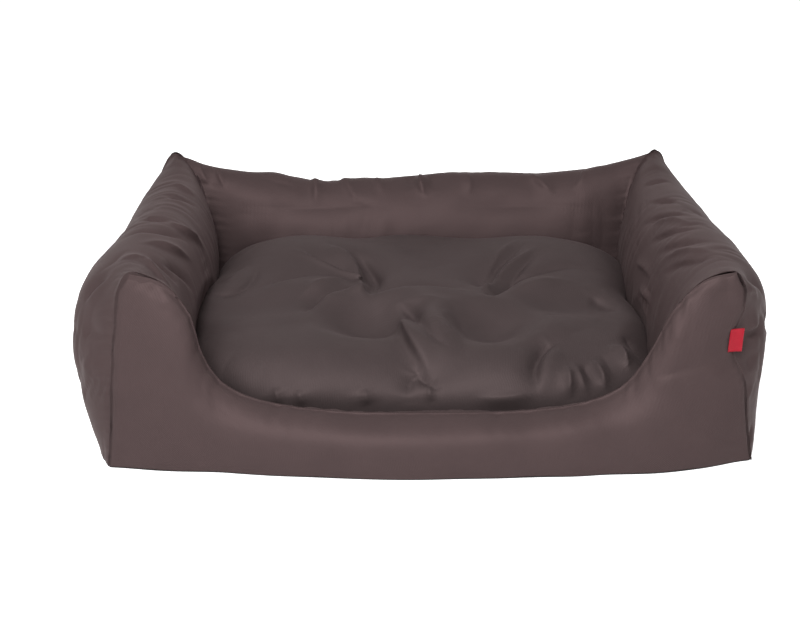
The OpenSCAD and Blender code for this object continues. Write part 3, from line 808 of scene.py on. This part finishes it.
front_folds = [
    (2.2, 1.6, 10, 0.3, [(375, -318, 144), (351, -331, 138), (319, -339, 133), (282, -340, 124),
        (260, -330, 115)]),
    (-1.6, 0.0, 12, 0, [(371, -326, 127), (341, -337, 120), (302, -345, 113)]),
    (2.0, -1.0, 12, 0.5, [(-371, -316, 253), (-360, -317, 244), (-346, -321, 233), (-338, -325, 219)]),
    (1.8, 0.0, 16, 0, [(-388, -320, 199), (-371, -326, 190), (-349, -331, 187)]),
    (-1.4, 0.0, 14, 0, [(-393, -321, 155), (-371, -329, 147), (-343, -336, 147)]),
    (-1.6, 0.8, 9, 0.3, [(-327, -317, 230), (-332, -323, 223), (-336, -327, 211)]),
    (1.8, 0.0, 22, 0, [(-290, -342, 101), (-273, -342, 93), (-250, -348, 77), (-228, -352, 70)]),
    (-1.6, 0.8, 16, 0, [(292, -327, 173), (318, -334, 172)]),
    (2.0, -0.8, 12, 0.3, [(374, -319, 235), (356, -322, 231), (336, -325, 222)]),
    (1.6, 0.8, 10, 0, [(397, -324, 24), (375, -335, 37), (344, -346, 48)]),
]


def outer_y(across, level):
    """Where the outer panel's face lies, at shares of its half width and of its height"""
    return front_y - swell(across, level, 3) - fabric_t * (level < 1)


def inner_y(across, level):
    """Where the inner panel's face lies, at shares of its half width and of its height"""
    bulge_out = lip_swell * np.maximum(0, 1 - across**4) ** 0.6 * np.sqrt(1 - level**3)
    return front_y + bulge_out + fabric_t * (level < 1)


front_face = panel(
    "front_panel", both_sides(seam_half, 190), side_x, np.linspace(0, 1, 44), outer_y,
    nodes=("front_outer_panel", "front_fill"), seed=51, flip=False, folds=front_folds,
)
lip_face = panel(
    "lip_inner_panel", both_sides(inner_half, 150), inner_x, np.linspace(0, 1, 26), inner_y,
    nodes=("front_inner_panel",), seed=63, flip=True, folds=[],
)

# Topstitch: beside the seam over the lip a row of lock stitches holds the seam allowance
# down on the inner panel. The stitches are 3.2 mm long and 4.4 mm apart, in matching thread.
stitch_pitch = 4.4
stitch_l = 3.2
stitch_r = 0.4
stitch_from_seam = 6
stitch_proud = 0.3


def new_tree(name, inputs):
    """A geometry tree with named inputs, and its input and output nodes"""
    tree = bpy.data.node_groups.new(name, "GeometryNodeTree")
    tree.interface.new_socket("Geometry", in_out="INPUT", socket_type="NodeSocketGeometry")
    tree.interface.new_socket("Geometry", in_out="OUTPUT", socket_type="NodeSocketGeometry")
    for title in inputs:
        tree.interface.new_socket(title, in_out="INPUT", socket_type="NodeSocketFloat")
    return tree, tree.nodes.new("NodeGroupInput"), tree.nodes.new("NodeGroupOutput")


def finish_tree(tree, done, shapes, material):
    """The tree's last nodes: instances made real, and their material"""
    real = add(tree, "GeometryNodeRealizeInstances", {"Geometry": shapes})
    dressed = add(
        tree, "GeometryNodeSetMaterial", {"Geometry": real.outputs[0], "Material": material}
    )
    tree.links.new(dressed.outputs[0], done.inputs[0])


def grown(name, source, tree, values):
    """A plain mesh object with what a geometry tree makes from another mesh"""
    carrier = bpy.data.objects.new(name + "_carrier", source)
    scene.collection.objects.link(carrier)
    modifier = carrier.modifiers.new("grown", "NODES")
    modifier.node_group = tree
    for item in tree.interface.items_tree:
        if item.in_out == "INPUT" and item.name in values:
            modifier[item.identifier] = values[item.name]
    shaped = carrier.evaluated_get(bpy.context.evaluated_depsgraph_get())
    mesh = bpy.data.meshes.new_from_object(shaped)
    bpy.data.objects.remove(carrier)
    mesh.name = name
    mesh.materials.pop(index=0)
    piece = bpy.data.objects.new(name, mesh)
    scene.collection.objects.link(piece)
    return piece


# Sewing thread: polyester yarns twisted together, so that it has slanting ridges
thread, tree = new_material("twisted polyester thread, grey brown")
spot = add(tree, "ShaderNodeTexCoord").outputs["Object"]
wave = {"Vector": spot, "Scale": 330.0}
twist = add(tree, "ShaderNodeTexWave", wave, bands_direction="DIAGONAL").outputs["Fac"]
coloured(tree, twist, "#3c3434", "#5a4f4f", {"Roughness": 0.6}, (0.6, 0.2, twist))

tree, given, done = new_tree("topstitch", ["Pitch", "Length", "Radius"])
line = add(tree, "GeometryNodeMeshToCurve", {"Mesh": given.outputs["Geometry"]})
spaced = add(
    tree,
    "GeometryNodeResampleCurve",
    {"Curve": line.outputs[0], "Length": given.outputs["Pitch"]},
    mode="LENGTH",
)
way = tree.nodes.new("GeometryNodeInputTangent")
turned = add(tree, "FunctionNodeAlignRotationToVector", {"Vector": way.outputs[0]}, axis="Z")
stitch = add(
    tree,
    "GeometryNodeMeshCylinder",
    {"Vertices": 6, "Radius": given.outputs["Radius"], "Depth": given.outputs["Length"]},
)
sewn = add(
    tree,
    "GeometryNodeInstanceOnPoints",
    {
        "Points": spaced.outputs[0],
        "Instance": stitch.outputs["Mesh"],
        "Rotation": turned.outputs[0],
    },
)
finish_tree(tree, done, sewn.outputs[0], thread)

from_seam = lengths(lip_face[::-1], 0)
rows_down = np.arange(len(lip_face))[::-1]
every = np.arange(lip_face.shape[1])
rows_at = np.array([np.interp(stitch_from_seam, from_seam[:, k], rows_down) for k in every])
proud = lip_face + stitch_proud * outwards(lip_face)
low = np.floor(rows_at).astype(int)
part = (rows_at - low)[:, None]
stitch_line = (proud[low, every] * (1 - part) + proud[low + 1, every] * part)[4:-4]
carrier = bpy.data.meshes.new("stitch_line")
carrier.from_pydata(stitch_line * mm, [(k, k + 1) for k in range(len(stitch_line) - 1)], [])
stitches = grown(
    "lip_topstitch",
    carrier,
    tree,
    {"Pitch": stitch_pitch * mm, "Length": stitch_l * mm, "Radius": stitch_r * mm},
)
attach(stitches, "frame")

# Seam tag: a red woven ribbon, 30 mm wide, folded in half to 18 mm and caught in the right
# front seam with both its ends. It is left bare, and stands a little off the arm's end.
tag_w = 18
tag_h = 30
tag_z = 166
tag_in = 3.5
tag_out = 8
ribbon_t = 0.5
fold_r = 0.7
rib_pitch = 0.9

# Ribbon: polyester woven with fine ribs along it, a little glossier than the bed's cloth
ribbon_red, tree = new_material("woven polyester ribbon, red")
ribs = crossed(tree, rib_pitch, rib_pitch / 2)
tone = add(tree, "ShaderNodeMapRange", {"Value": ribs, "From Min": -1, "To Min": 0, "To Max": 1})
gloss = {"Roughness": 0.42, "Specular IOR Level": 0.3}
coloured(tree, tone.outputs[0], "#a50c24", "#c4142f", gloss, (0.6, 0.1, ribs))


def ribbon(start):
    """Points of the folded ribbon, from its front end round the fold to its back end"""
    turn = np.linspace(-math.pi / 2, math.pi / 2, 9)[1:-1]
    straight = np.linspace(0, tag_w - fold_r, 26)
    run = np.concatenate([straight, tag_w - fold_r + fold_r * np.cos(turn), straight[::-1]])
    off = np.concatenate([0 * straight - fold_r, fold_r * np.sin(turn), 0 * straight + fold_r])
    grid = []
    for z in np.linspace(-tag_h / 2, tag_h / 2, 16):
        lean = 0.10 * run + 0.5 * np.sin(run / 5) + 0.7 * np.sin(z / 9 + 1) * run / tag_w
        open_up = 1 + 0.6 * (1 + np.sin(z / 7)) * run / tag_w
        x = start[0] + run + 0.05 * z
        y = start[1] + lean + off * open_up
        grid.append(np.stack([x, y, start[2] + z + 0.04 * run], axis=1))
    return np.array(grid)


seam_side = front_face[:, -1]
tag_row = np.argmin(np.abs(seam_side[:, 2] - tag_z))
tag_foot = (seam_side[tag_row][0] - tag_in, seam_side[tag_row][1] - tag_out, tag_z)
outer = ribbon(tag_foot)
inner = outer + outwards(outer) * ribbon_t
tag = two_layers("seam_tag", outer, inner, ribbon_red, cut_of(outer))
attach(tag, "frame")
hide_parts("side_tag")

# Floor of the bed: wadding between two layers of cloth, quilted in squares by lock stitches
# and sewn to the feet of the walls. The cushion lies on it and hides it.
wadding_t = 12
quilt_cover_t = 1.2
pad_foot = base_t + 0.1
pad_top = base_t + wadding_t + quilt_cover_t
pad_gap = 3
pad_rows = 64
pad_cols = 84
quilt_pitch = 95
quilt_depth = 4.5
quilt_roll = 8
pad_edge = 14
edge_drop = 9


def between(low, high, share):
    """The value at a share of the way between two others"""
    return low + (high - low) * share


def along_line(line, at, axis):
    """The other coordinate of a line where one of them has given values"""
    order = np.argsort(line[:, axis])
    return np.interp(at, line[order, axis], line[order, 1 - axis])


pad_v = np.linspace(0, 1, pad_rows)[:, None] * np.ones((1, pad_cols))
pad_u = np.linspace(0, 1, pad_cols)[None, :] * np.ones((pad_rows, 1))
rear_y = back[4:-4, -1, 1].min() - pad_gap
front_line = along_line(lip_face[0], between(-300, 300, pad_u), 0) + pad_gap
pad_y = between(front_line, rear_y, pad_v)
left_x = along_line(left_arm[4:-4, -1], pad_y, 1) + pad_gap
right_x = along_line(right_arm[4:-4, -1], pad_y, 1) - pad_gap
pad_x = between(left_x, right_x, pad_u)
to_edge = np.minimum(
    np.minimum(pad_x - left_x, right_x - pad_x), np.minimum(pad_y - front_line, rear_y - pad_y)
)
stitch_gap = np.minimum(
    np.abs((pad_x / quilt_pitch) % 1 - 0.5), np.abs((pad_y / quilt_pitch) % 1 - 0.5)
) * quilt_pitch
sunk = quilt_depth * np.exp(-stitch_gap / quilt_roll)
sunk = sunk + edge_drop * (rolled_in(to_edge, pad_edge) / pad_edge)
pad_z = pad_top - sunk - 0.4 * (1 + billow(np.stack([pad_x, pad_y, 0 * pad_x], axis=2), 83, 90))
pad_z = np.maximum(pad_z, pad_foot + 1.5)
top = np.stack([pad_x, pad_y, pad_z], axis=2)
foot = np.stack([pad_x, pad_y, 0 * pad_x + pad_foot], axis=2)
pad = two_layers("floor_quilt", top, foot, frame_cloth, cut_of(top))
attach(pad, "frame")
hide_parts("floor_pad", "floor_cover")

# Underside: black spunbond sheet, sewn round the foot of the walls, with moulded soft vinyl
# dots against slipping. The dots stand 0.9 mm below the sheet and carry the bed.
dot_pitch = 16
dot_radius = 2.2
dot_rise = 0.9
dotted_shares = [0.97, 0.96, 1]

# Spunbond sheet: short fibres pressed together in small cells, dull and black
spunbond, tree = new_material("spunbond polypropylene, black")
spot = add(tree, "ShaderNodeTexCoord").outputs["Object"]
cells = {"Vector": spot, "Scale": 500.0}
fibres = add(tree, "ShaderNodeTexVoronoi", cells, feature="DISTANCE_TO_EDGE").outputs["Distance"]
coloured(tree, fibres, "#1c1b1b", "#2a2828", {"Roughness": 0.8}, (0.4, 0.2, fibres))

# Vinyl of the dots: soft and black, duller where its grain is coarser
vinyl, tree = new_material("moulded soft vinyl, black")
spot = add(tree, "ShaderNodeTexCoord").outputs["Object"]
grain = add(tree, "ShaderNodeTexNoise", {"Vector": spot, "Scale": 900.0}).outputs["Fac"]
worn = add(tree, "ShaderNodeMapRange", {"Value": grain, "To Min": 0.45, "To Max": 0.65})
gloss = {"Base Color": linear("#222121"), "Roughness": worn.outputs[0]}
shader = add(tree, "ShaderNodeBsdfPrincipled", gloss)
add(tree, "ShaderNodeOutputMaterial", {"Surface": shader.outputs[0]})

edge_line = np.concatenate(
    [left_arm[:-1, 0], back[:-1, 0], right_arm[:-1, 0], front_face[0, ::-1][:-1]]
)[::-1, :2]
keep = np.concatenate([[True], np.linalg.norm(np.diff(edge_line, axis=0), axis=1) > 0.5])
edge_line = edge_line[keep]
count = len(edge_line)
sheet_foot = np.column_stack([edge_line, np.full(count, dot_rise)])
sheet_top = np.column_stack([edge_line, np.full(count, base_t)])
faces = [tuple(range(count))[::-1], tuple(range(count, 2 * count))]
faces += [(k, (k + 1) % count, (k + 1) % count + count, k + count) for k in range(count)]
base = new_piece("base_sheet_cloth", np.concatenate([sheet_foot, sheet_top]), faces, spunbond)
base.data.shade_flat()

tree, given, done = new_tree("non-slip dots", ["Pitch", "Radius", "Rise", "Size"])
parts = {0: given.outputs["Size"], 1: given.outputs["Pitch"]}
across = add(tree, "ShaderNodeMath", parts, operation="DIVIDE")
points = add(
    tree,
    "GeometryNodeMeshGrid",
    {
        "Size X": given.outputs["Size"],
        "Size Y": given.outputs["Size"],
        "Vertices X": across.outputs[0],
        "Vertices Y": across.outputs[0],
    },
)
ray = add(
    tree,
    "GeometryNodeRaycast",
    {
        "Target Geometry": given.outputs["Geometry"],
        "Ray Direction": (0, 0, 1),
        "Ray Length": 1.0,
    },
)
dome = add(
    tree,
    "GeometryNodeMeshCone",
    {
        "Vertices": 10,
        "Radius Top": given.outputs["Radius"],
        "Radius Bottom": given.outputs["Radius"],
        "Depth": given.outputs["Rise"],
    },
)
placed = add(
    tree,
    "GeometryNodeInstanceOnPoints",
    {
        "Points": points.outputs["Mesh"],
        "Selection": ray.outputs["Is Hit"],
        "Instance": dome.outputs["Mesh"],
    },
)
finish_tree(tree, done, placed.outputs[0], vinyl)
dotted = bpy.data.meshes.new("dotted")
dotted.from_pydata(sheet_foot * mm * dotted_shares, [], [tuple(range(count))])
dots = grown(
    "non_slip_dots",
    dotted,
    tree,
    {
        "Pitch": dot_pitch * mm,
        "Radius": dot_radius * mm,
        "Rise": (dot_rise + 0.2) * mm,
        "Size": (bed_w - 20) * mm,
    },
)
for piece in (base, dots):
    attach(piece, "frame")
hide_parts("base_sheet")

# Loose cushion: a plump fibre filling in a woven cover, drawn down through its middle at
# two tufts, with one seam all round where the upper and the lower cloth meet.
cushion_rise = 98
seam_up = 35
side_room = 4
end_room = 10
tuft_gap = 180
tuft_back = 38
tuft_depth = 27
tuft_reach = 85
foot_tuft_depth = 8
foot_tuft_reach = 28
tie_reach = 7
pad_clear = 0.3
cushion_rows = 90
cushion_cols = 110
seam_z = pad_top + pad_clear + seam_up
cushion_half_w = half_w - arm_t - side_room
cushion_rear = half_d - back_t - end_room
cushion_front = front_y + lip_swell + fabric_t + end_room
cushion_half_d = (cushion_rear - cushion_front) / 2
cushion_mid_y = (cushion_rear + cushion_front) / 2
lean_share = 0.35


def bulge(t, power):
    """A rounded profile, 1 in the middle and 0 at both ends"""
    return (1 - np.minimum(1, np.abs(t)) ** power) ** (1 / power)


def outline(t):
    """How far the cushion's side stands in towards its corners, as a share"""
    return 1 - 0.14 * t**8 - 0.012 * (1 - t**4)


def from_tuft(x, y):
    """Distance in plan from the nearer tuft"""
    return np.hypot(np.abs(x) - tuft_gap / 2, y - cushion_mid_y - tuft_back)


cushion_pushes = [
    ((-300, -110, 90), (130, 220, 110), (-20, 0, 8)),
    ((-240, 170, 90), (120, 110, 90), (-16, 6, 8)),
    ((300, -190, 80), (110, 110, 90), (12, -6, 6)),
    ((290, 120, 100), (110, 130, 100), (18, 6, 8)),
    ((-80, -112, 130), (95, 78, 80), (0, 0, -34)),
    ((10, -170, 122), (46, 95, 80), (0, -4, 19)),
    ((90, -132, 128), (85, 74, 80), (0, 0, -28)),
    ((-170, -215, 105), (180, 85, 90), (0, -8, 11)),
    ((100, -225, 100), (110, 75, 90), (0, -6, 10)),
    ((-190, 110, 160), (120, 95, 90), (0, 0, 13)),
    ((190, 110, 160), (125, 95, 90), (0, 0, 12)),
    ((10, 85, 160), (95, 120, 90), (0, 0, -15)),
    ((200, -70, 142), (120, 60, 80), (0, 0, -16)),
    ((-230, -70, 142), (110, 70, 80), (0, 0, -13)),
    ((150, -160, 125), (70, 50, 80), (0, 0, 8)),
    ((318, -170, 90), (70, 80, 90), (-6, 0, -26)),
    ((-318, 0, 100), (90, 160, 90), (-17, 0, 13)),
    ((-325, -115, 100), (45, 55, 70), (6, 0, -14)),
    ((-290, 160, 90), (90, 110, 90), (-10, 0, 0)),
    ((312, -85, 100), (80, 120, 90), (13, 0, 8)),
    ((300, 205, 90), (85, 85, 90), (10, 8, 16)),
    ((-10, 215, 130), (130, 75, 90), (0, 3, 15)),
    ((-140, 215, 140), (60, 70, 80), (0, 0, -6)),
]
cushion_folds = [
    (-6.3, 12.6, 11, 1, [(-83, -34, 141), (-90, 32, 143), (-103, 63, 158), (-121, 84, 167),
        (-152, 101, 173)]),
    (9.5, 0.0, 10, 0.3, [(-68, 2, 138), (-74, 39, 148), (-89, 72, 160), (-107, 96, 167)]),
    (-10.5, 0.0, 7, 1, [(-95, 13, 131), (-119, 22, 146), (-147, 40, 158), (-178, 66, 167),
        (-202, 79, 169)]),
    (8.4, 0.0, 11, 0.4, [(-103, 25, 141), (-127, 39, 153), (-157, 56, 163), (-187, 76, 170)]),
    (10.5, 4.2, 9, 0.8, [(-97, -26, 140), (-126, -41, 145), (-145, -57, 142), (-160, -84, 134),
        (-171, -115, 132)]),
    (-9.5, 0.0, 16, 0.3, [(-112, 8, 138), (-140, -18, 147), (-166, -41, 142), (-182, -66, 132)]),
    (7.6, 2.5, 9, 0, [(-317, -24, 128), (-283, -27, 135), (-260, -8, 141), (-244, 35, 147),
        (-233, 52, 154)]),
    (-5.5, 0.0, 10, 0, [(-292, 5, 138), (-270, 31, 142), (-255, 66, 150)]),
    (6.3, 0.0, 12, 0, [(-259, -34, 133), (-222, -4, 146), (-179, 11, 151), (-129, 11, 146),
        (-103, 13, 135)]),
    (6.3, -6.3, 13, 0.5, [(-80, -43, 141), (-40, -40, 146), (6, -36, 148), (51, -41, 146), (84, -44, 142)]),
    (-10.5, 0.0, 30, 0, [(-75, -75, 122), (-33, -77, 131), (15, -87, 141), (63, -85, 134)]),
    (11.5, -6.3, 9, 0.2, [(-35, -76, 131), (-21, -108, 124), (-3, -191, 132), (17, -212, 124),
        (38, -215, 116)]),
    (-14.7, 6.3, 14, 0, [(-38, -94, 119), (-25, -184, 122), (-10, -227, 107), (5, -259, 83)]),
    (8.4, 0.0, 8, 0.3, [(-18, -241, 95), (-7, -253, 87), (5, -261, 81), (20, -261, 81)]),
    (5.6, 2.8, 9, 0.3, [(-17, -244, 94), (-25, -259, 83), (-28, -267, 69)]),
    (-6.3, 0.0, 7, 0, [(-5, -252, 88), (-1, -264, 76), (1, -269, 62)]),
    (-6.3, 0.0, 10, 0, [(-203, -260, 84), (-199, -266, 73), (-195, -268, 57)]),
    (-5.6, 0.0, 9, 0, [(-172, -265, 83), (-169, -269, 71), (-166, -270, 56)]),
    (-4.9, 0.0, 10, 0, [(-86, -262, 82), (-84, -268, 70), (-81, -270, 57)]),
    (-10.5, 0.0, 7, 1, [(90, -25, 139), (123, 30, 149), (151, 58, 164), (177, 92, 172)]),
    (9.5, 0.0, 9, 0.4, [(96, -49, 143), (131, 15, 148), (166, 58, 164), (190, 91, 171)]),
    (-7.3, 0.0, 8, 0.6, [(90, 16, 132), (109, 55, 155), (129, 84, 168), (155, 120, 174)]),
    (7.3, 0.0, 8, 0.5, [(95, 23, 138), (119, 50, 155), (142, 76, 168), (166, 108, 174)]),
    (7.3, 2.5, 11, 0.6, [(91, -44, 142), (124, 0, 143), (162, 18, 153), (197, 34, 155),
        (234, 42, 151), (270, 23, 137)]),
    (-7.3, 0.0, 16, 0, [(104, -62, 141), (146, -31, 144), (192, -13, 147), (233, -13, 143)]),
    (5.6, 2.8, 12, 0.3, [(238, -38, 132), (259, -52, 125), (275, -81, 121)]),
    (11.5, 8.4, 10, 0.3, [(171, -193, 118), (155, -212, 115), (144, -239, 105), (140, -258, 90),
        (142, -268, 72)]),
    (-9.8, 0.0, 9, 0.2, [(180, -235, 100), (181, -250, 90), (182, -262, 77), (185, -267, 65)]),
    (-7.0, 0.0, 8, 0, [(187, -223, 104), (195, -243, 92), (202, -258, 79), (209, -264, 67)]),
    (4.9, 0.0, 9, 0, [(201, -224, 102), (208, -242, 92), (214, -257, 78)]),
    (-10.5, 2.1, 8, 0, [(214, -216, 104), (222, -235, 95), (228, -251, 81), (230, -257, 70)]),
    (4.2, 0.0, 10, 0, [(229, -204, 108), (237, -225, 99), (242, -243, 87)]),
    (-13.7, 0.0, 9, 0, [(245, -185, 113), (255, -201, 107), (261, -219, 100), (265, -235, 89)]),
    (5.6, 0.0, 9, 0, [(266, -154, 116), (277, -171, 105), (282, -195, 96)]),
    (-5.3, 3.1, 12, 0, [(140, -266, 77), (90, -269, 72), (51, -268, 69)]),
]
u = np.sin(np.linspace(-1, 1, cushion_cols) * math.pi / 2)[None, :] * np.ones((cushion_rows, 1))
v = np.sin(np.linspace(-1, 1, cushion_rows) * math.pi / 2)[:, None] * np.ones((1, cushion_cols))
plan_x = cushion_half_w * u * outline(v)
plan_y = cushion_mid_y + cushion_half_d * v * outline(u)
fall_off = np.where(v < 0, bulge(v, 2.9), bulge(v, 4))
crown = seam_z + cushion_rise * (1 + lean_share * v) * bulge(u, 4.5) * fall_off
crown = crown - tuft_depth * near(from_tuft(plan_x, plan_y), tuft_reach)
under = seam_z - seam_up * bulge(u, 4) * bulge(v, 4)
under = under + foot_tuft_depth * near(from_tuft(plan_x, plan_y), foot_tuft_reach)
even_top = np.stack([plan_x, plan_y, crown], axis=2)
foot = np.stack([plan_x, plan_y, under], axis=2)
top = nudged(even_top, cushion_pushes)
foot[..., :2] += (top - even_top)[..., :2]
rows, cols = top.shape[:2]
held = np.zeros((2, rows, cols), dtype=bool)
held[1] = True
held[0, [0, -1]] = True
held[0][:, [0, -1]] = True
held[0] |= from_tuft(plan_x, plan_y) < tie_reach
points, faces = layers(top, foot), sheet_faces(rows, cols)
slack = (0.04, 0.04, 0.0)
points = stuffed("cushion", points, faces, held.ravel(), slack, pressure=3.0, most=14)
top = points[: rows * cols].reshape(rows, cols, 3)
fine_rows = np.linspace(0, rows - 1, 3 * rows - 2)
fine_cols = np.linspace(0, cols - 1, 3 * cols - 2)
top = read_grid(top, fine_rows, fine_cols)
across, down = lengths(top, 1), lengths(top, 0)
rim = np.minimum(np.minimum(across, across[:, -1:] - across), np.minimum(down, down[-1:] - down))
free = away_from(rim, reach=14)
top = top + outwards(top) * (free * wrinkled(top, 71, 42, (2, 2, 2), 1.2))[..., None]
top = folded(top, cushion_folds, free)
cushion_top = held_flat(top, "cushion_zip_tape", reach=25)
cushion_foot = held_flat(read_grid(foot, fine_rows, fine_cols), "cushion_zip_tape", reach=25)
cushion_foot[[0, -1]] = cushion_top[[0, -1]]
cushion_foot[:, [0, -1]] = cushion_top[:, [0, -1]]
cut = cut_of(cushion_top)
cushion = two_layers("cushion", cushion_top, cushion_foot, cushion_cloth, cut)
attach(cushion, "cushion")
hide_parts("cushion_top_cover", "cushion_bottom_cover", "cushion_fill")

# Zips, in the back of the frame's cover and in the rear seam of the cushion: a nylon coil
# on two woven tapes, with a slider, a pull and stops of dark zinc. Teeth lie 2 mm apart.
tape_t = 0.8
tape_w = 24
tape_end = 12
chain_w = 5
chain_h = 1.4
tooth_pitch = 2.0
tooth_radius = 0.62
tooth_share = 0.62
apart_share = 0.19

# Tape: polyester in a herringbone weave, whose slanting ribs show as fine dark lines
zip_cloth, tree = new_material("woven polyester tape, dark brown")
spot = add(tree, "ShaderNodeTexCoord").outputs["Object"]
wave = {"Vector": spot, "Scale": 240.0, "Distortion": 0.4}
ribs = add(tree, "ShaderNodeTexWave", wave, bands_direction="DIAGONAL").outputs["Fac"]
coloured(tree, ribs, "#2f2727", "#3d3333", {"Roughness": 0.7}, (0.5, 0.15, ribs))

# Coil: nylon wire, smooth and a little glossy
nylon, tree = new_material("nylon coil, dark brown")
spot = add(tree, "ShaderNodeTexCoord").outputs["Object"]
cloud = add(tree, "ShaderNodeTexNoise", {"Vector": spot, "Scale": 60.0}).outputs["Fac"]
coloured(tree, cloud, "#2b2424", "#362d2d", {"Roughness": 0.35})

# Die-cast zinc under a dark antique finish, which is rubbed to a paler metal in spots
zinc, tree = new_material("die-cast zinc, dark antique finish")
spot = add(tree, "ShaderNodeTexCoord").outputs["Object"]
noise = {"Vector": spot, "Scale": 350.0, "Detail": 4.0}
rub = add(tree, "ShaderNodeTexNoise", noise).outputs["Fac"]
worn = add(tree, "ShaderNodeMapRange", {"Value": rub, "To Min": 0.28, "To Max": 0.5})
gloss = {"Roughness": worn.outputs[0], "Metallic": 1.0}
coloured(tree, rub, "#4b4541", "#8d8680", gloss)

tree, given, done = new_tree("zip coil", ["Length", "Pitch", "Radius", "Tooth", "Apart"])
parts = {0: given.outputs["Length"], 1: given.outputs["Pitch"]}
count = add(tree, "ShaderNodeMath", parts, operation="DIVIDE").outputs[0]
step = add(tree, "ShaderNodeCombineXYZ", {0: given.outputs["Pitch"]})
rod = add(
    tree,
    "GeometryNodeMeshCylinder",
    {"Vertices": 8, "Radius": given.outputs["Radius"], "Depth": given.outputs["Tooth"]},
)
joined = tree.nodes.new("GeometryNodeJoinGeometry")
for side in (-1.0, 1.0):
    shift = {0: given.outputs["Pitch"], 1: side * 0.25}
    start = add(tree, "ShaderNodeMath", shift, operation="MULTIPLY")
    halved = {0: given.outputs["Length"], 1: -0.5, 2: start.outputs[0]}
    half = add(tree, "ShaderNodeMath", halved, operation="MULTIPLY_ADD")
    apart = {0: given.outputs["Apart"], 1: side}
    high = add(tree, "ShaderNodeMath", apart, operation="MULTIPLY")
    first = add(tree, "ShaderNodeCombineXYZ", {0: half.outputs[0], 2: high.outputs[0]})
    line = {"Count": count, "Start Location": first.outputs[0], "Offset": step.outputs[0]}
    teeth = {
        "Points": add(tree, "GeometryNodeMeshLine", line).outputs[0],
        "Instance": rod.outputs["Mesh"],
    }
    placed = add(tree, "GeometryNodeInstanceOnPoints", teeth)
    tree.links.new(placed.outputs[0], joined.inputs[0])
finish_tree(tree, done, joined.outputs[0], nylon)
coil_tree = tree


def zip_line(name, middle, length, body):
    """The dressed tape, coil and metal of a zip whose chain lies along X and faces back"""
    wide = np.linspace(-length / 2 - tape_end, length / 2 + tape_end, 120)
    high = np.linspace(-tape_w / 2, tape_w / 2, 17)
    x, z = np.meshgrid(wide, high)
    rim = np.minimum(np.abs(z), tape_w / 2 - np.abs(z))
    face = tape_t - 0.25 * np.exp(-rim / 0.8)
    outer = np.stack([middle[0] + x, middle[1] + face, middle[2] + z], axis=2)[:, ::-1]
    inner = np.stack([middle[0] + x, middle[1] + 0 * x, middle[2] + z], axis=2)[:, ::-1]
    faces = sheet_faces(*outer.shape[:2])
    tape = new_piece(name + "_tape_cloth", layers(outer, inner), faces, zip_cloth)
    coil = grown(
        name + "_coil",
        bpy.data.meshes.new("coil"),
        coil_tree,
        {
            "Length": length * mm,
            "Pitch": tooth_pitch * mm,
            "Radius": tooth_radius * mm,
            "Tooth": tooth_share * chain_w * mm,
            "Apart": apart_share * chain_w * mm,
        },
    )
    chain_middle = Vector((middle[0], middle[1] + tape_t + chain_h / 2, middle[2]))
    coil.data.transform(Matrix.Translation(chain_middle * mm))
    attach(tape, body)
    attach(coil, body)
    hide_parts(name + "_tape")
    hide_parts(name + "_teeth")
    for part in ("stops", "slider", "pull"):
        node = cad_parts[name + "_" + part]
        for slot in node.material_slots:
            slot.material = zinc


for name, body in (("frame_zip", "frame"), ("cushion_zip", "cushion")):
    low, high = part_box(name + "_tape")
    middle = ((low + high) / 2) / mm
    length = (high.x - low.x) / mm - 2 * tape_end
    zip_line(name, (middle.x, low.y / mm, middle.z), length, body)

# Tuft ties: a twisted polyester thread is drawn through the cushion and knotted over the
# cloth on both sides, which holds the tuft down.
thread_r = 0.9
knot_size = 2.4


def tube(line, radius, sides):
    """Points and faces of a round thread along a line"""
    way = np.gradient(line, axis=0)
    way /= np.linalg.norm(way, axis=1, keepdims=True)
    aside = np.cross(way, [0.36, 0.48, 0.8])
    aside /= np.linalg.norm(aside, axis=1, keepdims=True)
    other = np.cross(way, aside)
    turn = np.linspace(0, 2 * math.pi, sides, endpoint=False)
    ring = np.cos(turn)[:, None] * aside[:, None] + np.sin(turn)[:, None] * other[:, None]
    points = line[:, None] + radius * ring
    return points.reshape(-1, 3), ring_faces(len(line), sides)


def height_at(grid, x, y):
    """The height of a grid's point that lies closest to a place"""
    return grid[..., 2].ravel()[np.hypot(grid[..., 0] - x, grid[..., 1] - y).argmin()]


turn = np.linspace(0.15, 4 * math.pi - 0.15, 90)
wide = 0.9 + 0.45 * np.cos(1.5 * turn)
loops = np.stack([wide * np.cos(turn), wide * np.sin(turn), 0.5 * np.sin(1.5 * turn)], axis=1)
tuft_y = cushion_mid_y + tuft_back
for side, name in ((-1, "left_tuft_tie"), (1, "right_tuft_tie")):
    x = side * tuft_gap / 2
    z_top, z_foot = (height_at(grid, x, tuft_y) for grid in (cushion_top, cushion_foot))
    upper = loops * knot_size * 0.8 + [x, tuft_y, z_top + knot_size * 0.55]
    lower = loops * knot_size * 0.8 + [x, tuft_y, z_foot - knot_size * 0.55]
    shaft = np.column_stack(
        [np.full(24, x), np.full(24, tuft_y), np.linspace(z_foot - 1.5, z_top + 1.5, 24)]
    )
    points, faces = [], []
    for line in (upper, lower, shaft):
        more, closed = tube(line, thread_r, 10)
        shift = sum(len(p) for p in points)
        faces += [tuple(k + shift for k in face) for face in closed]
        points.append(more)
    tie = new_piece(name + "_thread", np.concatenate(points), faces, thread)
    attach(tie, "cushion")
    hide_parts(name)
